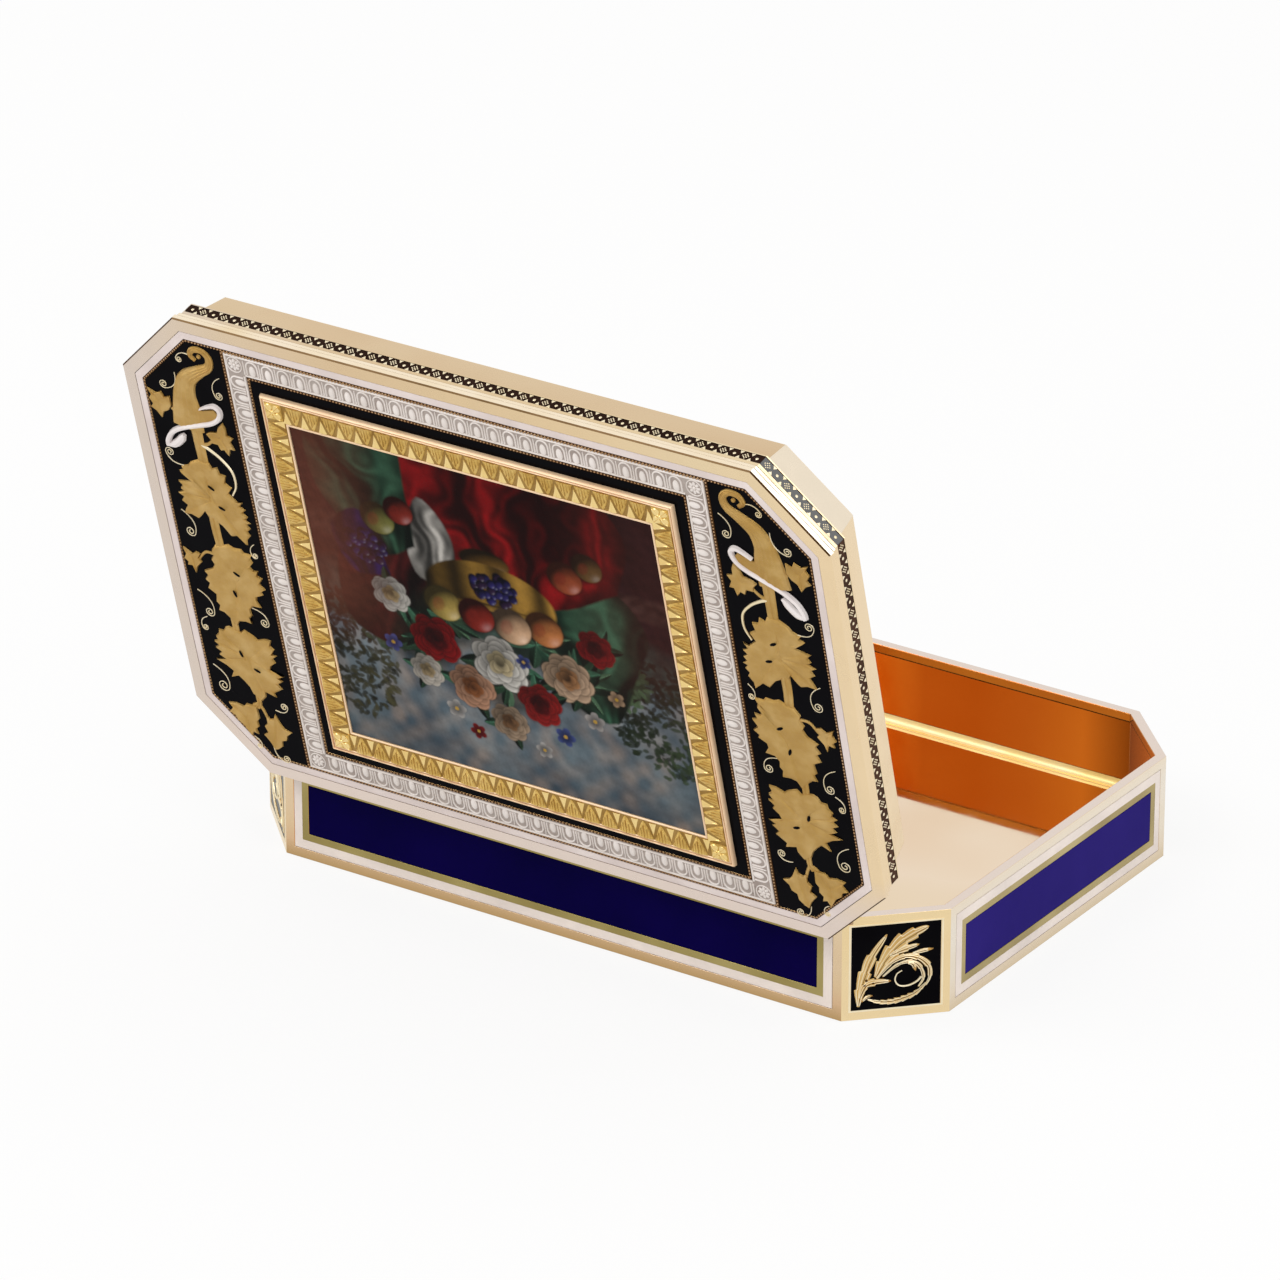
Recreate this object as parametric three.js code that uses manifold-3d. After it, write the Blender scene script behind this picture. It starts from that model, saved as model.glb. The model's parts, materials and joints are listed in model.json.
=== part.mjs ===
// Gold and enamel snuff box: a long octagon with a hinged lid, standing open.
// Millimetres, +Z up. The origin is the middle of the underside, +X runs along
// the box, and the hinge is at the back, on the +Y side.

import * as THREE from "three";
import { mergeVertices } from "three/addons/utils/BufferGeometryUtils.js";
import Module from "manifold-3d";

const wasm = await Module();
wasm.setup();

// Outline of the box
const LENGTH = 90;
const WIDTH = 62;
const CORNER_CUT = 8.4; // taken off both sides at each corner

// Base
const BASE_HEIGHT = 12.3; // underside to parting line
const BASE_WALL = 1.15;
const BOTTOM_THICKNESS = 1.2;
const FLOOR_THICKNESS = 1.8;
const FLOOR_FILLET = 0.9; // round between the polished floor and the wall

// Enamel let into the base's walls
const ENAMEL_DEPTH = 0.4;
const WALL_EDGE = 1.2; // plain gold round each wall
const WHITE_LINE = 0.9;
const WALL_FILLET = 1.1; // gold between the white line and the blue field
const CORNER_EDGE = 1.1; // plain gold round each corner panel

// Lid
const LID_HEIGHT = 3.5; // parting line to the lid's flat face
const LID_PLATE = 1.6;
const RIM_WIDTH = 1.55; // gold border round the lid's face
const RIM_ROUND = 0.15; // the rim's top edge is drawn in by this much
const BAND_STEP = 0.4; // how far the check band stands back from the edge of the lid's face
const BAND_LIP = 0.2; // gold under the check band
const BAND_HEIGHT = 1.3;
const BAND_DEPTH = 0.4;
const REED_COUNT = 2; // reeds that step out from the check band to the face
const REED_HEIGHT = 0.65;
const REED_GROOVE = 0.12; // depth and half width of the groove over each reed
const BEZEL_WALL = 0.8;
const BEZEL_DEPTH = 4.5; // how far the lid's flange drops into the base
const BEZEL_TAPER = 0.95; // how far the flange draws in towards its edge
const LID_OPEN_ANGLE = 104.8; // degrees from closed

// Bands on the lid's face, from the rim inwards
const BEAD_LINE = 0.35;
const VINE_PANEL_WIDTH = 11.2;
const PANEL_LINE = 0.5; // gold between a vine panel and the white frame
const WHITE_FRAME = 2.55;
const FRAME_LINE = 0.41; // gold between the white frame and the black line
const BLACK_LINE = 1.25;
const PICTURE_FRAME = 3.15;
const PICTURE_FRAME_RISE = 1.1;
const PICTURE_FRAME_LEDGE = 0.5; // outer fillet of the picture frame
const PICTURE_RISE = 0.5;

// Raised gold ornament
const ORNAMENT_RISE = 0.15;
const LEAF_RADIUS = 4.5;
const SMALL_LEAF_RADIUS = 2.8;
const SIDE_LEAF_RADIUS = 1.8;
const LEAF_TIPS = 9;
const LEAF_NOTCH = 0.62; // notch radius over tip radius
const LEAF_STALK_SIDE = 0.7; // radius at the stalk over radius at the tip
const VINE_STEM = 0.7;
const HORN_LENGTH = 11.4; // horn of plenty, from the panel's end to its mouth
const HORN_MOUTH = 4.4;
const SCROLL_SIZE = 10; // drawn size of a corner scroll

// Hinge
const HINGE_INSET = 0.5; // axis inside the back face
const HINGE_END = 0.4; // from the hinge's end to the corner of the back wall
const KNUCKLE_COUNT = 7;
const KNUCKLE_RADIUS = 0.75;
const KNUCKLE_BORE = 0.42;
const PIN_RADIUS = 0.35;

// Clearances
const FIT = 0.05; // between pieces that are set into each other
const PARTING_GAP = 0.05; // between the closed lid and the base
const BEZEL_CLEARANCE = 0.25; // lets the flange swing out of the base
const KNUCKLE_CLEARANCE = 0.1; // round the knuckles
const KNUCKLE_GAP = 0.1; // between neighbouring knuckles

// Facets of the round pieces
const GROOVE_SIDES = 24;
const KNUCKLE_SIDES = 16;
const PIN_SIDES = 12;
const FILLET_STEPS = 5;

// Levels and insets worked out from the sizes above
const FLOOR_BOTTOM = BOTTOM_THICKNESS + FIT;
const FLOOR_TOP = FLOOR_BOTTOM + FLOOR_THICKNESS;
const FACE = BASE_HEIGHT + LID_HEIGHT;
const PLATE_BOTTOM = FACE - LID_PLATE;
const BAND_BOTTOM = BASE_HEIGHT + BAND_LIP;
const BAND_TOP = BAND_BOTTOM + BAND_HEIGHT;
const BAND_BACK = BAND_STEP + BAND_DEPTH;
const BEZEL_INSET = BASE_WALL + BEZEL_CLEARANCE;
const PLATE_INSET = RIM_WIDTH + FIT;
const FIELD_INSET = PLATE_INSET + WHITE_LINE + BEAD_LINE;
const HINGE_Y = WIDTH / 2 - HINGE_INSET;
const HINGE_LENGTH = LENGTH - 2 * CORNER_CUT - 2 * HINGE_END;
const GROOVE_RADIUS = KNUCKLE_RADIUS + KNUCKLE_CLEARANCE;
const VINE_OUTER = LENGTH / 2 - FIELD_INSET;
const VINE_INNER = VINE_OUTER - VINE_PANEL_WIDTH;
const FIELD_HALF_WIDTH = WIDTH / 2 - FIELD_INSET;

// Materials
const GOLD = { color: 0xe3c088, roughness: 0.25, metalness: 1 };
const POLISHED_GOLD = { color: 0xe8b878, roughness: 0.08, metalness: 1 };
const ORNAMENT_GOLD = { color: 0xb8944c, roughness: 0.35, metalness: 1 };
const BLUE_ENAMEL = { color: 0x1a0f66, roughness: 0.1, metalness: 0 };
const WHITE_ENAMEL = { color: 0xe6e0ea, roughness: 0.2, metalness: 0 };
const BLACK_ENAMEL = { color: 0x0b090d, roughness: 0.12, metalness: 0 };
const PAINTED_ENAMEL = { color: 0x4b4650, roughness: 0.15, metalness: 0 };

function piece(name, finish, geometry) {
  geometry.computeVertexNormals();
  const mesh = new THREE.Mesh(geometry, new THREE.MeshStandardMaterial(finish));
  mesh.name = name;
  return mesh;
}

// Joining and cutting of closed geometries
const SAME_POINT = 1e-5; // vertices nearer than this are one
const SHORTEST_EDGE = 0.001; // shorter edges are closed up

function solidOf(geometry) {
  const bare = geometry.clone();
  bare.deleteAttribute("normal");
  bare.deleteAttribute("uv");
  const merged = mergeVertices(bare, SAME_POINT);
  const vertProperties = new Float32Array(merged.attributes.position.array);
  const triVerts = new Uint32Array(merged.index.array);
  const mesh = new wasm.Mesh({ numProp: 3, vertProperties, triVerts, tolerance: SHORTEST_EDGE });
  return new wasm.Manifold(mesh);
}

function geometryOf(solid) {
  const mesh = solid.getMesh();
  const geometry = new THREE.BufferGeometry();
  geometry.setAttribute("position", new THREE.BufferAttribute(mesh.vertProperties, 3));
  geometry.setIndex(new THREE.BufferAttribute(mesh.triVerts, 1));
  return geometry;
}

function cut(geometry, tools) {
  const solid = tools.reduce((left, tool) => left.subtract(solidOf(tool)), solidOf(geometry));
  return geometryOf(solid);
}

function join(geometries) {
  const solid = geometries.map(solidOf).reduce((sum, next) => sum.add(next));
  return geometryOf(solid);
}

// Outlines, anticlockwise from above, drawn in by an inset
function boxOutline(inset) {
  const x = LENGTH / 2 - inset;
  const y = WIDTH / 2 - inset;
  const corner = CORNER_CUT - inset * (2 - Math.SQRT2);
  return [
    [x, -y + corner],
    [x, y - corner],
    [x - corner, y],
    [-x + corner, y],
    [-x, y - corner],
    [-x, -y + corner],
    [-x + corner, -y],
    [x - corner, -y],
  ];
}

function rectangleOutline(halfX, halfY) {
  return (inset) => {
    const x = halfX - inset;
    const y = halfY - inset;
    return [[x, -y], [x, y], [-x, y], [-x, -y]];
  };
}

function indexedGeometry(positions, triangles) {
  const geometry = new THREE.BufferGeometry();
  geometry.setAttribute("position", new THREE.Float32BufferAttribute(positions, 3));
  geometry.setIndex(triangles);
  return geometry;
}

function stackLoops(outlineAt, section) {
  return section.flatMap(([inset, z]) => outlineAt(inset).flatMap(([x, y]) => [x, y, z]));
}

function sideTriangles(lower, upper, count) {
  const triangles = [];
  for (let i = 0; i < count; i++) {
    const j = (i + 1) % count;
    triangles.push(lower + i, lower + j, upper + j, lower + i, upper + j, upper + i);
  }
  return triangles;
}

// A closed ring: the section lists [inset, z] up the outside and down the inside
function ring(outlineAt, section) {
  const count = outlineAt(0).length;
  const triangles = section.flatMap((_, i) =>
    sideTriangles(i * count, ((i + 1) % section.length) * count, count));
  return indexedGeometry(stackLoops(outlineAt, section), triangles);
}

// A solid plate: the section lists [inset, z] from the underside to the top
function plate(outlineAt, section) {
  const count = outlineAt(0).length;
  const top = (section.length - 1) * count;
  const triangles = [];
  for (let i = 0; i + 1 < section.length; i++) {
    triangles.push(...sideTriangles(i * count, (i + 1) * count, count));
  }
  for (let i = 1; i + 1 < count; i++) {
    triangles.push(0, i + 1, i, top, top + i, top + i + 1);
  }
  return indexedGeometry(stackLoops(outlineAt, section), triangles);
}

function bandRing(outlineAt, outer, inner, bottom, top) {
  return ring(outlineAt, [[outer, bottom], [outer, top], [inner, top], [inner, bottom]]);
}

function prism(points, bottom, top) {
  const shape = new THREE.Shape(points.map(([x, y]) => new THREE.Vector2(x, y)));
  const geometry = new THREE.ExtrudeGeometry(shape, { depth: top - bottom, bevelEnabled: false });
  return geometry.translate(0, 0, bottom);
}

function circle(radius, sides) {
  const points = [];
  for (let i = 0; i < sides; i++) {
    const angle = (2 * Math.PI * i) / sides;
    points.push(new THREE.Vector2(radius * Math.cos(angle), radius * Math.sin(angle)));
  }
  return points;
}

// A round bar or tube along X, centred on the hinge axis
function barAlongX(radius, sides, start, end, boreRadius) {
  const shape = new THREE.Shape(circle(radius, sides));
  if (boreRadius) shape.holes.push(new THREE.Path(circle(boreRadius, sides)));
  const geometry = new THREE.ExtrudeGeometry(shape, { depth: end - start, bevelEnabled: false });
  geometry.rotateY(Math.PI / 2);
  return geometry.translate(start, HINGE_Y, BASE_HEIGHT);
}

// The groove for the hinge runs out past the back wall at both ends, so that
// the lid's edge clears the base as it turns
function hingeGroove() {
  const reach = LENGTH / 2 - CORNER_CUT + GROOVE_RADIUS;
  return barAlongX(GROOVE_RADIUS, GROOVE_SIDES, -reach, reach);
}

// The eight walls of the base. Each has its own axes: x along the wall, y up
// from the underside and z out of the wall's face.
function baseWalls() {
  const x = LENGTH / 2;
  const y = WIDTH / 2;
  const half = CORNER_CUT / 2;
  const longSide = LENGTH - 2 * CORNER_CUT;
  const shortSide = WIDTH - 2 * CORNER_CUT;
  const corner = CORNER_CUT * Math.SQRT2;
  return [
    { name: "right", at: [x, 0], facing: 0, width: shortSide },
    { name: "back_right", at: [x - half, y - half], facing: 45, width: corner, mirrored: true },
    { name: "back", at: [0, y], facing: 90, width: longSide },
    { name: "back_left", at: [half - x, y - half], facing: 135, width: corner },
    { name: "left", at: [-x, 0], facing: 180, width: shortSide },
    { name: "front_left", at: [half - x, half - y], facing: 225, width: corner, mirrored: true },
    { name: "front", at: [0, -y], facing: 270, width: longSide },
    { name: "front_right", at: [x - half, half - y], facing: 315, width: corner },
  ];
}

function isCorner(wall) {
  return wall.facing % 90 !== 0;
}

function wallMatrix(wall) {
  const angle = THREE.MathUtils.degToRad(wall.facing);
  const outward = new THREE.Vector3(Math.cos(angle), Math.sin(angle), 0);
  const up = new THREE.Vector3(0, 0, 1);
  const along = new THREE.Vector3().crossVectors(up, outward);
  return new THREE.Matrix4().makeBasis(along, up, outward).setPosition(wall.at[0], wall.at[1], 0);
}

// A rectangular panel in a wall, grown by a clearance, from one depth to another
function wallPanel(wall, edge, grow, back, front) {
  const outline = rectangleOutline(wall.width / 2, BASE_HEIGHT / 2);
  const panel = plate(outline, [[edge - grow, back], [edge - grow, front]]);
  return panel.translate(0, BASE_HEIGHT / 2, 0);
}

function wallLine(wall, edge, width, grow, back, front) {
  const outline = rectangleOutline(wall.width / 2, BASE_HEIGHT / 2);
  const line = bandRing(outline, edge - grow, edge + width + grow, back, front);
  return line.translate(0, BASE_HEIGHT / 2, 0);
}

const BLUE_EDGE = WALL_EDGE + WHITE_LINE + WALL_FILLET;
const POCKET_BACK = -ENAMEL_DEPTH - FIT;
const POCKET_FRONT = ENAMEL_DEPTH; // the cut runs out past the wall's face

function wallPockets(wall) {
  const pockets = isCorner(wall)
    ? [wallPanel(wall, CORNER_EDGE, FIT, POCKET_BACK, POCKET_FRONT)]
    : [
        wallPanel(wall, BLUE_EDGE, FIT, POCKET_BACK, POCKET_FRONT),
        wallLine(wall, WALL_EDGE, WHITE_LINE, FIT, POCKET_BACK, POCKET_FRONT),
      ];
  return pockets.map((pocket) => pocket.applyMatrix4(wallMatrix(wall)));
}

function baseWall() {
  const shell = bandRing(boxOutline, 0, BASE_WALL, 0, BASE_HEIGHT);
  const pockets = baseWalls().flatMap(wallPockets);
  return piece("base_wall", GOLD, cut(shell, [...pockets, hingeGroove()]));
}

function bottomPlate() {
  const inset = BASE_WALL + FIT;
  return piece("bottom_plate", GOLD, plate(boxOutline, [[inset, 0], [inset, BOTTOM_THICKNESS]]));
}

// The polished floor turns up at its edge in a quarter round
function innerFloor() {
  const edge = BASE_WALL + FIT;
  const section = [[edge, FLOOR_BOTTOM], [edge, FLOOR_TOP + FLOOR_FILLET]];
  for (let i = 1; i <= FILLET_STEPS; i++) {
    const turn = (Math.PI / 2) * (i / FILLET_STEPS);
    const inset = edge + FLOOR_FILLET * (1 - Math.cos(turn));
    section.push([inset, FLOOR_TOP + FLOOR_FILLET * (1 - Math.sin(turn))]);
  }
  return piece("inner_floor", POLISHED_GOLD, plate(boxOutline, section));
}

function wallEnamel(wall) {
  const group = new THREE.Group();
  group.applyMatrix4(wallMatrix(wall));
  const name = wall.name;
  if (isCorner(wall)) {
    group.add(
      piece(`corner_panel_${name}`, BLACK_ENAMEL, wallPanel(wall, CORNER_EDGE, 0, -ENAMEL_DEPTH, 0)),
      cornerScroll(wall),
    );
  } else {
    const line = wallLine(wall, WALL_EDGE, WHITE_LINE, 0, -ENAMEL_DEPTH, 0);
    group.add(
      piece(`blue_panel_${name}`, BLUE_ENAMEL, wallPanel(wall, BLUE_EDGE, 0, -ENAMEL_DEPTH, 0)),
      piece(`white_line_${name}`, WHITE_ENAMEL, line),
    );
  }
  return group;
}

function smoothCurve(path) {
  return new THREE.CatmullRomCurve3(path.map(([x, y]) => new THREE.Vector3(x, y, 0)));
}

// A flat band along a smooth path, with a half width at each of its steps
function bandOutline(path, halfWidthAt) {
  const curve = smoothCurve(path);
  const steps = STEPS_PER_POINT * (path.length - 1);
  const left = [];
  const right = [];
  for (let i = 0; i <= steps; i++) {
    const share = i / steps;
    const at = curve.getPoint(share);
    const along = curve.getTangent(share);
    const half = halfWidthAt(share);
    left.push([at.x - along.y * half, at.y + along.x * half]);
    right.push([at.x + along.y * half, at.y - along.x * half]);
  }
  return [...left, ...right.reverse()];
}

function ornamentSolid(outlines) {
  return join(outlines.map((outline) => prism(outline, FIT, FIT + ORNAMENT_RISE)));
}

// Corner scroll: acanthus leaves on a root, and last one long frond that curls round.
// Paths run from -0.5 to 0.5 of the scroll's drawn size, and half is the half width.
const SCROLL_LEAVES = [
  { path: [[-0.44, -0.49], [-0.42, -0.26], [-0.28, 0.05], [-0.11, 0.38]], half: 0.06 },
  { path: [[-0.4, -0.32], [-0.2, 0], [0.05, 0.27], [0.36, 0.46]], half: 0.09 },
  { path: [[-0.22, -0.06], [0.05, 0.14], [0.2, 0.17], [0.43, 0.17]], half: 0.05 },
  { path: [[-0.42, -0.3], [-0.3, -0.22], [-0.18, -0.21], [-0.05, -0.22]], half: 0.05 },
  {
    path: [[-0.2, -0.05], [0.1, 0.12], [0.35, 0.05], [0.41, -0.15],
      [0.28, -0.38], [0, -0.47], [-0.3, -0.44]],
    half: 0.05,
  },
];
const STEPS_PER_POINT = 3; // steps of a band's outline from one point of its path to the next
const BLUNT_END = 0.08; // share of the full width left at a leaf's ends

function leafWidth(half) {
  return (share) => half * (BLUNT_END + (1 - BLUNT_END) * Math.sin(Math.PI * share));
}

function cornerScroll(wall) {
  const flip = wall.mirrored ? -1 : 1;
  const place = ([x, y]) => [flip * x * SCROLL_SIZE, y * SCROLL_SIZE + BASE_HEIGHT / 2];
  const leaves = SCROLL_LEAVES.map(({ path, half }) =>
    bandOutline(path.map(place), leafWidth(half * SCROLL_SIZE)));
  return piece(`corner_scroll_${wall.name}`, ORNAMENT_GOLD, ornamentSolid(leaves));
}

// Lid, modelled closed
function reedSection() {
  const section = [];
  for (let i = 0; i < REED_COUNT; i++) {
    const inset = BAND_STEP * (1 - i / REED_COUNT);
    const next = BAND_STEP * (1 - (i + 1) / REED_COUNT);
    const groove = BAND_TOP + (i + 1) * REED_HEIGHT - REED_GROOVE;
    section.push(
      [inset, groove - REED_GROOVE],
      [inset + REED_GROOVE, groove],
      [next, groove + REED_GROOVE],
    );
  }
  return section;
}

function lidRim() {
  const bottom = BASE_HEIGHT + PARTING_GAP;
  const innerInset = BEZEL_INSET - FIT;
  const section = [
    [BAND_STEP, bottom],
    [BAND_STEP, BAND_BOTTOM],
    [BAND_BACK + FIT, BAND_BOTTOM],
    [BAND_BACK + FIT, BAND_TOP],
    [BAND_STEP, BAND_TOP],
    ...reedSection(),
    [0, FACE - RIM_ROUND],
    [RIM_ROUND, FACE],
    [RIM_WIDTH, FACE],
    [RIM_WIDTH, PLATE_BOTTOM],
    [innerInset, PLATE_BOTTOM],
    [innerInset, bottom],
  ];
  return piece("lid_rim", GOLD, cut(ring(boxOutline, section), [hingeGroove()]));
}

function checkBand() {
  const front = BAND_STEP + FIT;
  const band = bandRing(boxOutline, front, BAND_BACK, BAND_BOTTOM + FIT, BAND_TOP - FIT);
  return piece("check_band", BLACK_ENAMEL, cut(band, [hingeGroove()]));
}

// The flange is upright inside the rim and draws in below it
function lidBezel() {
  const bottom = BASE_HEIGHT - BEZEL_DEPTH;
  const top = PLATE_BOTTOM - FIT;
  const section = [
    [BEZEL_INSET + BEZEL_TAPER, bottom],
    [BEZEL_INSET, BASE_HEIGHT],
    [BEZEL_INSET, top],
    [BEZEL_INSET + BEZEL_WALL, top],
    [BEZEL_INSET + BEZEL_WALL, BASE_HEIGHT],
    [BEZEL_INSET + BEZEL_TAPER + BEZEL_WALL, bottom],
  ];
  return piece("lid_bezel", GOLD, cut(ring(boxOutline, section), [hingeGroove()]));
}

// Rectangular bands round the picture, from the outside in
const CENTRE_X = VINE_INNER - PANEL_LINE;
const CENTRE_Y = FIELD_HALF_WIDTH;
const centreOutline = rectangleOutline(CENTRE_X, CENTRE_Y);
const BLACK_LINE_INSET = WHITE_FRAME + FRAME_LINE;
const PICTURE_FRAME_INSET = BLACK_LINE_INSET + BLACK_LINE + FIT;
const PICTURE_INSET = PICTURE_FRAME_INSET + PICTURE_FRAME;

// A vine panel's outline, seen from above on the +X side of the lid
function vinePanelPoints(grow) {
  const corner = CORNER_CUT - (FIELD_INSET - grow) * (2 - Math.SQRT2);
  const y = FIELD_HALF_WIDTH + grow;
  const outer = VINE_OUTER + grow;
  const inner = VINE_INNER - grow;
  return [[inner, -y], [outer - corner, -y], [outer, -y + corner],
    [outer, y - corner], [outer - corner, y], [inner, y]];
}

function onSide(points, side) {
  return points.map(([x, y]) => [side * x, y]);
}

function lidPockets() {
  const bottom = FACE - ENAMEL_DEPTH - FIT;
  const top = FACE + ENAMEL_DEPTH;
  return [
    bandRing(boxOutline, RIM_WIDTH, PLATE_INSET + WHITE_LINE + FIT, bottom, top),
    prism(onSide(vinePanelPoints(FIT), 1), bottom, top),
    prism(onSide(vinePanelPoints(FIT), -1), bottom, top),
    bandRing(centreOutline, -FIT, WHITE_FRAME + FIT, bottom, top),
    bandRing(centreOutline, BLACK_LINE_INSET - FIT, BLACK_LINE_INSET + BLACK_LINE + FIT, bottom, top),
  ];
}

function lidPlate() {
  const slab = plate(boxOutline, [[PLATE_INSET, PLATE_BOTTOM], [PLATE_INSET, FACE]]);
  return piece("lid_plate", GOLD, cut(slab, lidPockets()));
}

function lidEnamel() {
  const bottom = FACE - ENAMEL_DEPTH;
  const border = bandRing(boxOutline, PLATE_INSET, PLATE_INSET + WHITE_LINE, bottom, FACE);
  const frame = bandRing(centreOutline, 0, WHITE_FRAME, bottom, FACE);
  const line = bandRing(centreOutline, BLACK_LINE_INSET, BLACK_LINE_INSET + BLACK_LINE, bottom, FACE);
  return [
    piece("lid_white_line", WHITE_ENAMEL, border),
    piece("white_frame", WHITE_ENAMEL, frame),
    piece("black_line", BLACK_ENAMEL, line),
    piece("vine_panel_right", BLACK_ENAMEL, prism(onSide(vinePanelPoints(0), 1), bottom, FACE)),
    piece("vine_panel_left", BLACK_ENAMEL, prism(onSide(vinePanelPoints(0), -1), bottom, FACE)),
  ];
}

function pictureFrame() {
  const bottom = FACE + FIT;
  const top = FACE + PICTURE_FRAME_RISE;
  const outer = PICTURE_FRAME_INSET;
  const section = [
    [outer, bottom],
    [outer, top - PICTURE_FRAME_LEDGE],
    [outer + PICTURE_FRAME_LEDGE, top],
    [PICTURE_INSET - PICTURE_FRAME_LEDGE / 2, top],
    [PICTURE_INSET, top - PICTURE_FRAME_LEDGE / 2],
    [PICTURE_INSET, bottom],
  ];
  return piece("picture_frame", ORNAMENT_GOLD, ring(centreOutline, section));
}

function picturePlaque() {
  const inset = PICTURE_INSET + FIT;
  const section = [[inset, FACE + FIT], [inset, FACE + PICTURE_RISE]];
  return piece("picture_plaque", PAINTED_ENAMEL, plate(centreOutline, section));
}

// Vine ornament: a horn of plenty at the front end of the panel, and a stem of
// vine leaves that runs from its mouth to the hinge end. Across is a share of the
// panel's width, from its middle towards the picture; along is a share of its half length.
// The horn's stations run from its mouth to its curled tip, with back as a share of
// the horn's length from the panel's end and width as a share of its mouth.
const HORN = [
  { across: -0.045, back: 1, width: 1 },
  { across: -0.01, back: 0.69, width: 0.68 },
  { across: 0.205, back: 0.49, width: 0.36 },
  { across: 0.32, back: 0.23, width: 0.2 },
  { across: 0.23, back: 0.08, width: 0.14 },
  { across: 0.125, back: 0.175, width: 0.11 },
];
const STEM_LEAVES = [
  { across: 0, along: -0.286, radius: LEAF_RADIUS, turn: 96 },
  { across: 0.035, along: 0.126, radius: LEAF_RADIUS, turn: 84 },
  { across: -0.045, along: 0.503, radius: LEAF_RADIUS, turn: 92 },
  { across: -0.195, along: 0.797, radius: SMALL_LEAF_RADIUS, turn: 125 },
];
// A side leaf's stalk leaves the stem at a share of the stem's run from the horn
const SIDE_LEAVES = [
  { across: 0.17, along: 0.85, radius: SMALL_LEAF_RADIUS, turn: 65, leaves: 0.88 },
  { across: -0.33, along: 0.08, radius: SIDE_LEAF_RADIUS, turn: 200, leaves: 0.4 },
  { across: -0.32, along: -0.67, radius: SIDE_LEAF_RADIUS, turn: 170, leaves: 0.13 },
  { across: 0.285, along: -0.55, radius: SIDE_LEAF_RADIUS, turn: 40, leaves: 0.16 },
];

function vineLeafPoints([x, y], radius, turn) {
  const points = [];
  for (let i = 0; i < 2 * LEAF_TIPS; i++) {
    const angle = (Math.PI * i) / LEAF_TIPS;
    const heading = angle + THREE.MathUtils.degToRad(turn);
    const towardsStalk = (1 - Math.cos(angle)) / 2;
    const reach = radius * THREE.MathUtils.lerp(1, LEAF_STALK_SIDE, towardsStalk);
    const edge = i % 2 === 0 ? reach : reach * LEAF_NOTCH;
    points.push([x + edge * Math.cos(heading), y + edge * Math.sin(heading)]);
  }
  return points;
}

function vinePlace({ across, along }) {
  return [across * VINE_PANEL_WIDTH, along * FIELD_HALF_WIDTH];
}

function hornPlace({ across, back }) {
  return [across * VINE_PANEL_WIDTH, back * HORN_LENGTH - FIELD_HALF_WIDTH];
}

function hornPoints() {
  const last = HORN.length - 1;
  const halfWidthAt = (share) => {
    const step = Math.min(Math.floor(share * last), last - 1);
    const width = THREE.MathUtils.lerp(HORN[step].width, HORN[step + 1].width, share * last - step);
    return (width * HORN_MOUTH) / 2;
  };
  return bandOutline(HORN.map(hornPlace), halfWidthAt);
}

function vineOrnament(name, side) {
  const middle = (VINE_INNER + VINE_OUTER) / 2;
  const stemWidth = () => VINE_STEM / 2;
  const stemPath = [hornPlace(HORN[1]), ...STEM_LEAVES.map(vinePlace)];
  const stem = smoothCurve(stemPath);
  const stalks = SIDE_LEAVES.map((leaf) =>
    bandOutline([stem.getPoint(leaf.leaves).toArray(), vinePlace(leaf)], stemWidth));
  const leaves = [...STEM_LEAVES, ...SIDE_LEAVES].map((leaf) =>
    vineLeafPoints(vinePlace(leaf), leaf.radius, leaf.turn));
  const outlines = [hornPoints(), bandOutline(stemPath, stemWidth), ...stalks, ...leaves].map((outline) =>
    outline.map(([x, y]) => [-side * x, y]));
  const ornament = piece(name, ORNAMENT_GOLD, ornamentSolid(outlines));
  ornament.position.set(side * middle, 0, FACE);
  return ornament;
}

// Hinge: knuckles in turn on the base and the lid, on one pin
function knuckles(owner) {
  const step = HINGE_LENGTH / KNUCKLE_COUNT;
  const pieces = [];
  for (let i = owner === "base" ? 0 : 1; i < KNUCKLE_COUNT; i += 2) {
    const start = -HINGE_LENGTH / 2 + i * step + KNUCKLE_GAP / 2;
    const end = start + step - KNUCKLE_GAP;
    const geometry = barAlongX(KNUCKLE_RADIUS, KNUCKLE_SIDES, start, end, KNUCKLE_BORE);
    pieces.push(piece(`${owner}_knuckle_${pieces.length + 1}`, GOLD, geometry));
  }
  return pieces;
}

function hingePin() {
  const reach = HINGE_LENGTH / 2 - KNUCKLE_GAP / 2;
  return piece("hinge_pin", GOLD, barAlongX(PIN_RADIUS, PIN_SIDES, -reach, reach));
}

function base() {
  const group = new THREE.Group();
  group.add(baseWall(), bottomPlate(), innerFloor(), ...baseWalls().map(wallEnamel));
  group.add(...knuckles("base"), hingePin());
  return group;
}

// The closed lid sits in a group whose origin is the hinge axis, turned open
function lid() {
  const closed = new THREE.Group();
  closed.position.set(0, -HINGE_Y, -BASE_HEIGHT);
  closed.add(lidRim(), checkBand(), lidBezel(), lidPlate(), ...lidEnamel());
  closed.add(pictureFrame(), picturePlaque());
  closed.add(vineOrnament("vine_ornament_right", 1), vineOrnament("vine_ornament_left", -1));
  closed.add(...knuckles("lid"));
  const turned = new THREE.Group();
  turned.position.set(0, HINGE_Y, BASE_HEIGHT);
  turned.rotation.x = -THREE.MathUtils.degToRad(LID_OPEN_ANGLE);
  turned.add(closed);
  return turned;
}

const snuffBox = new THREE.Group();
snuffBox.name = "snuff_box";
snuffBox.add(base(), lid());

export default snuffBox;
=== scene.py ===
import json
import math

import bmesh
import bpy
import numpy as np
from mathutils import Matrix, Vector


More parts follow.
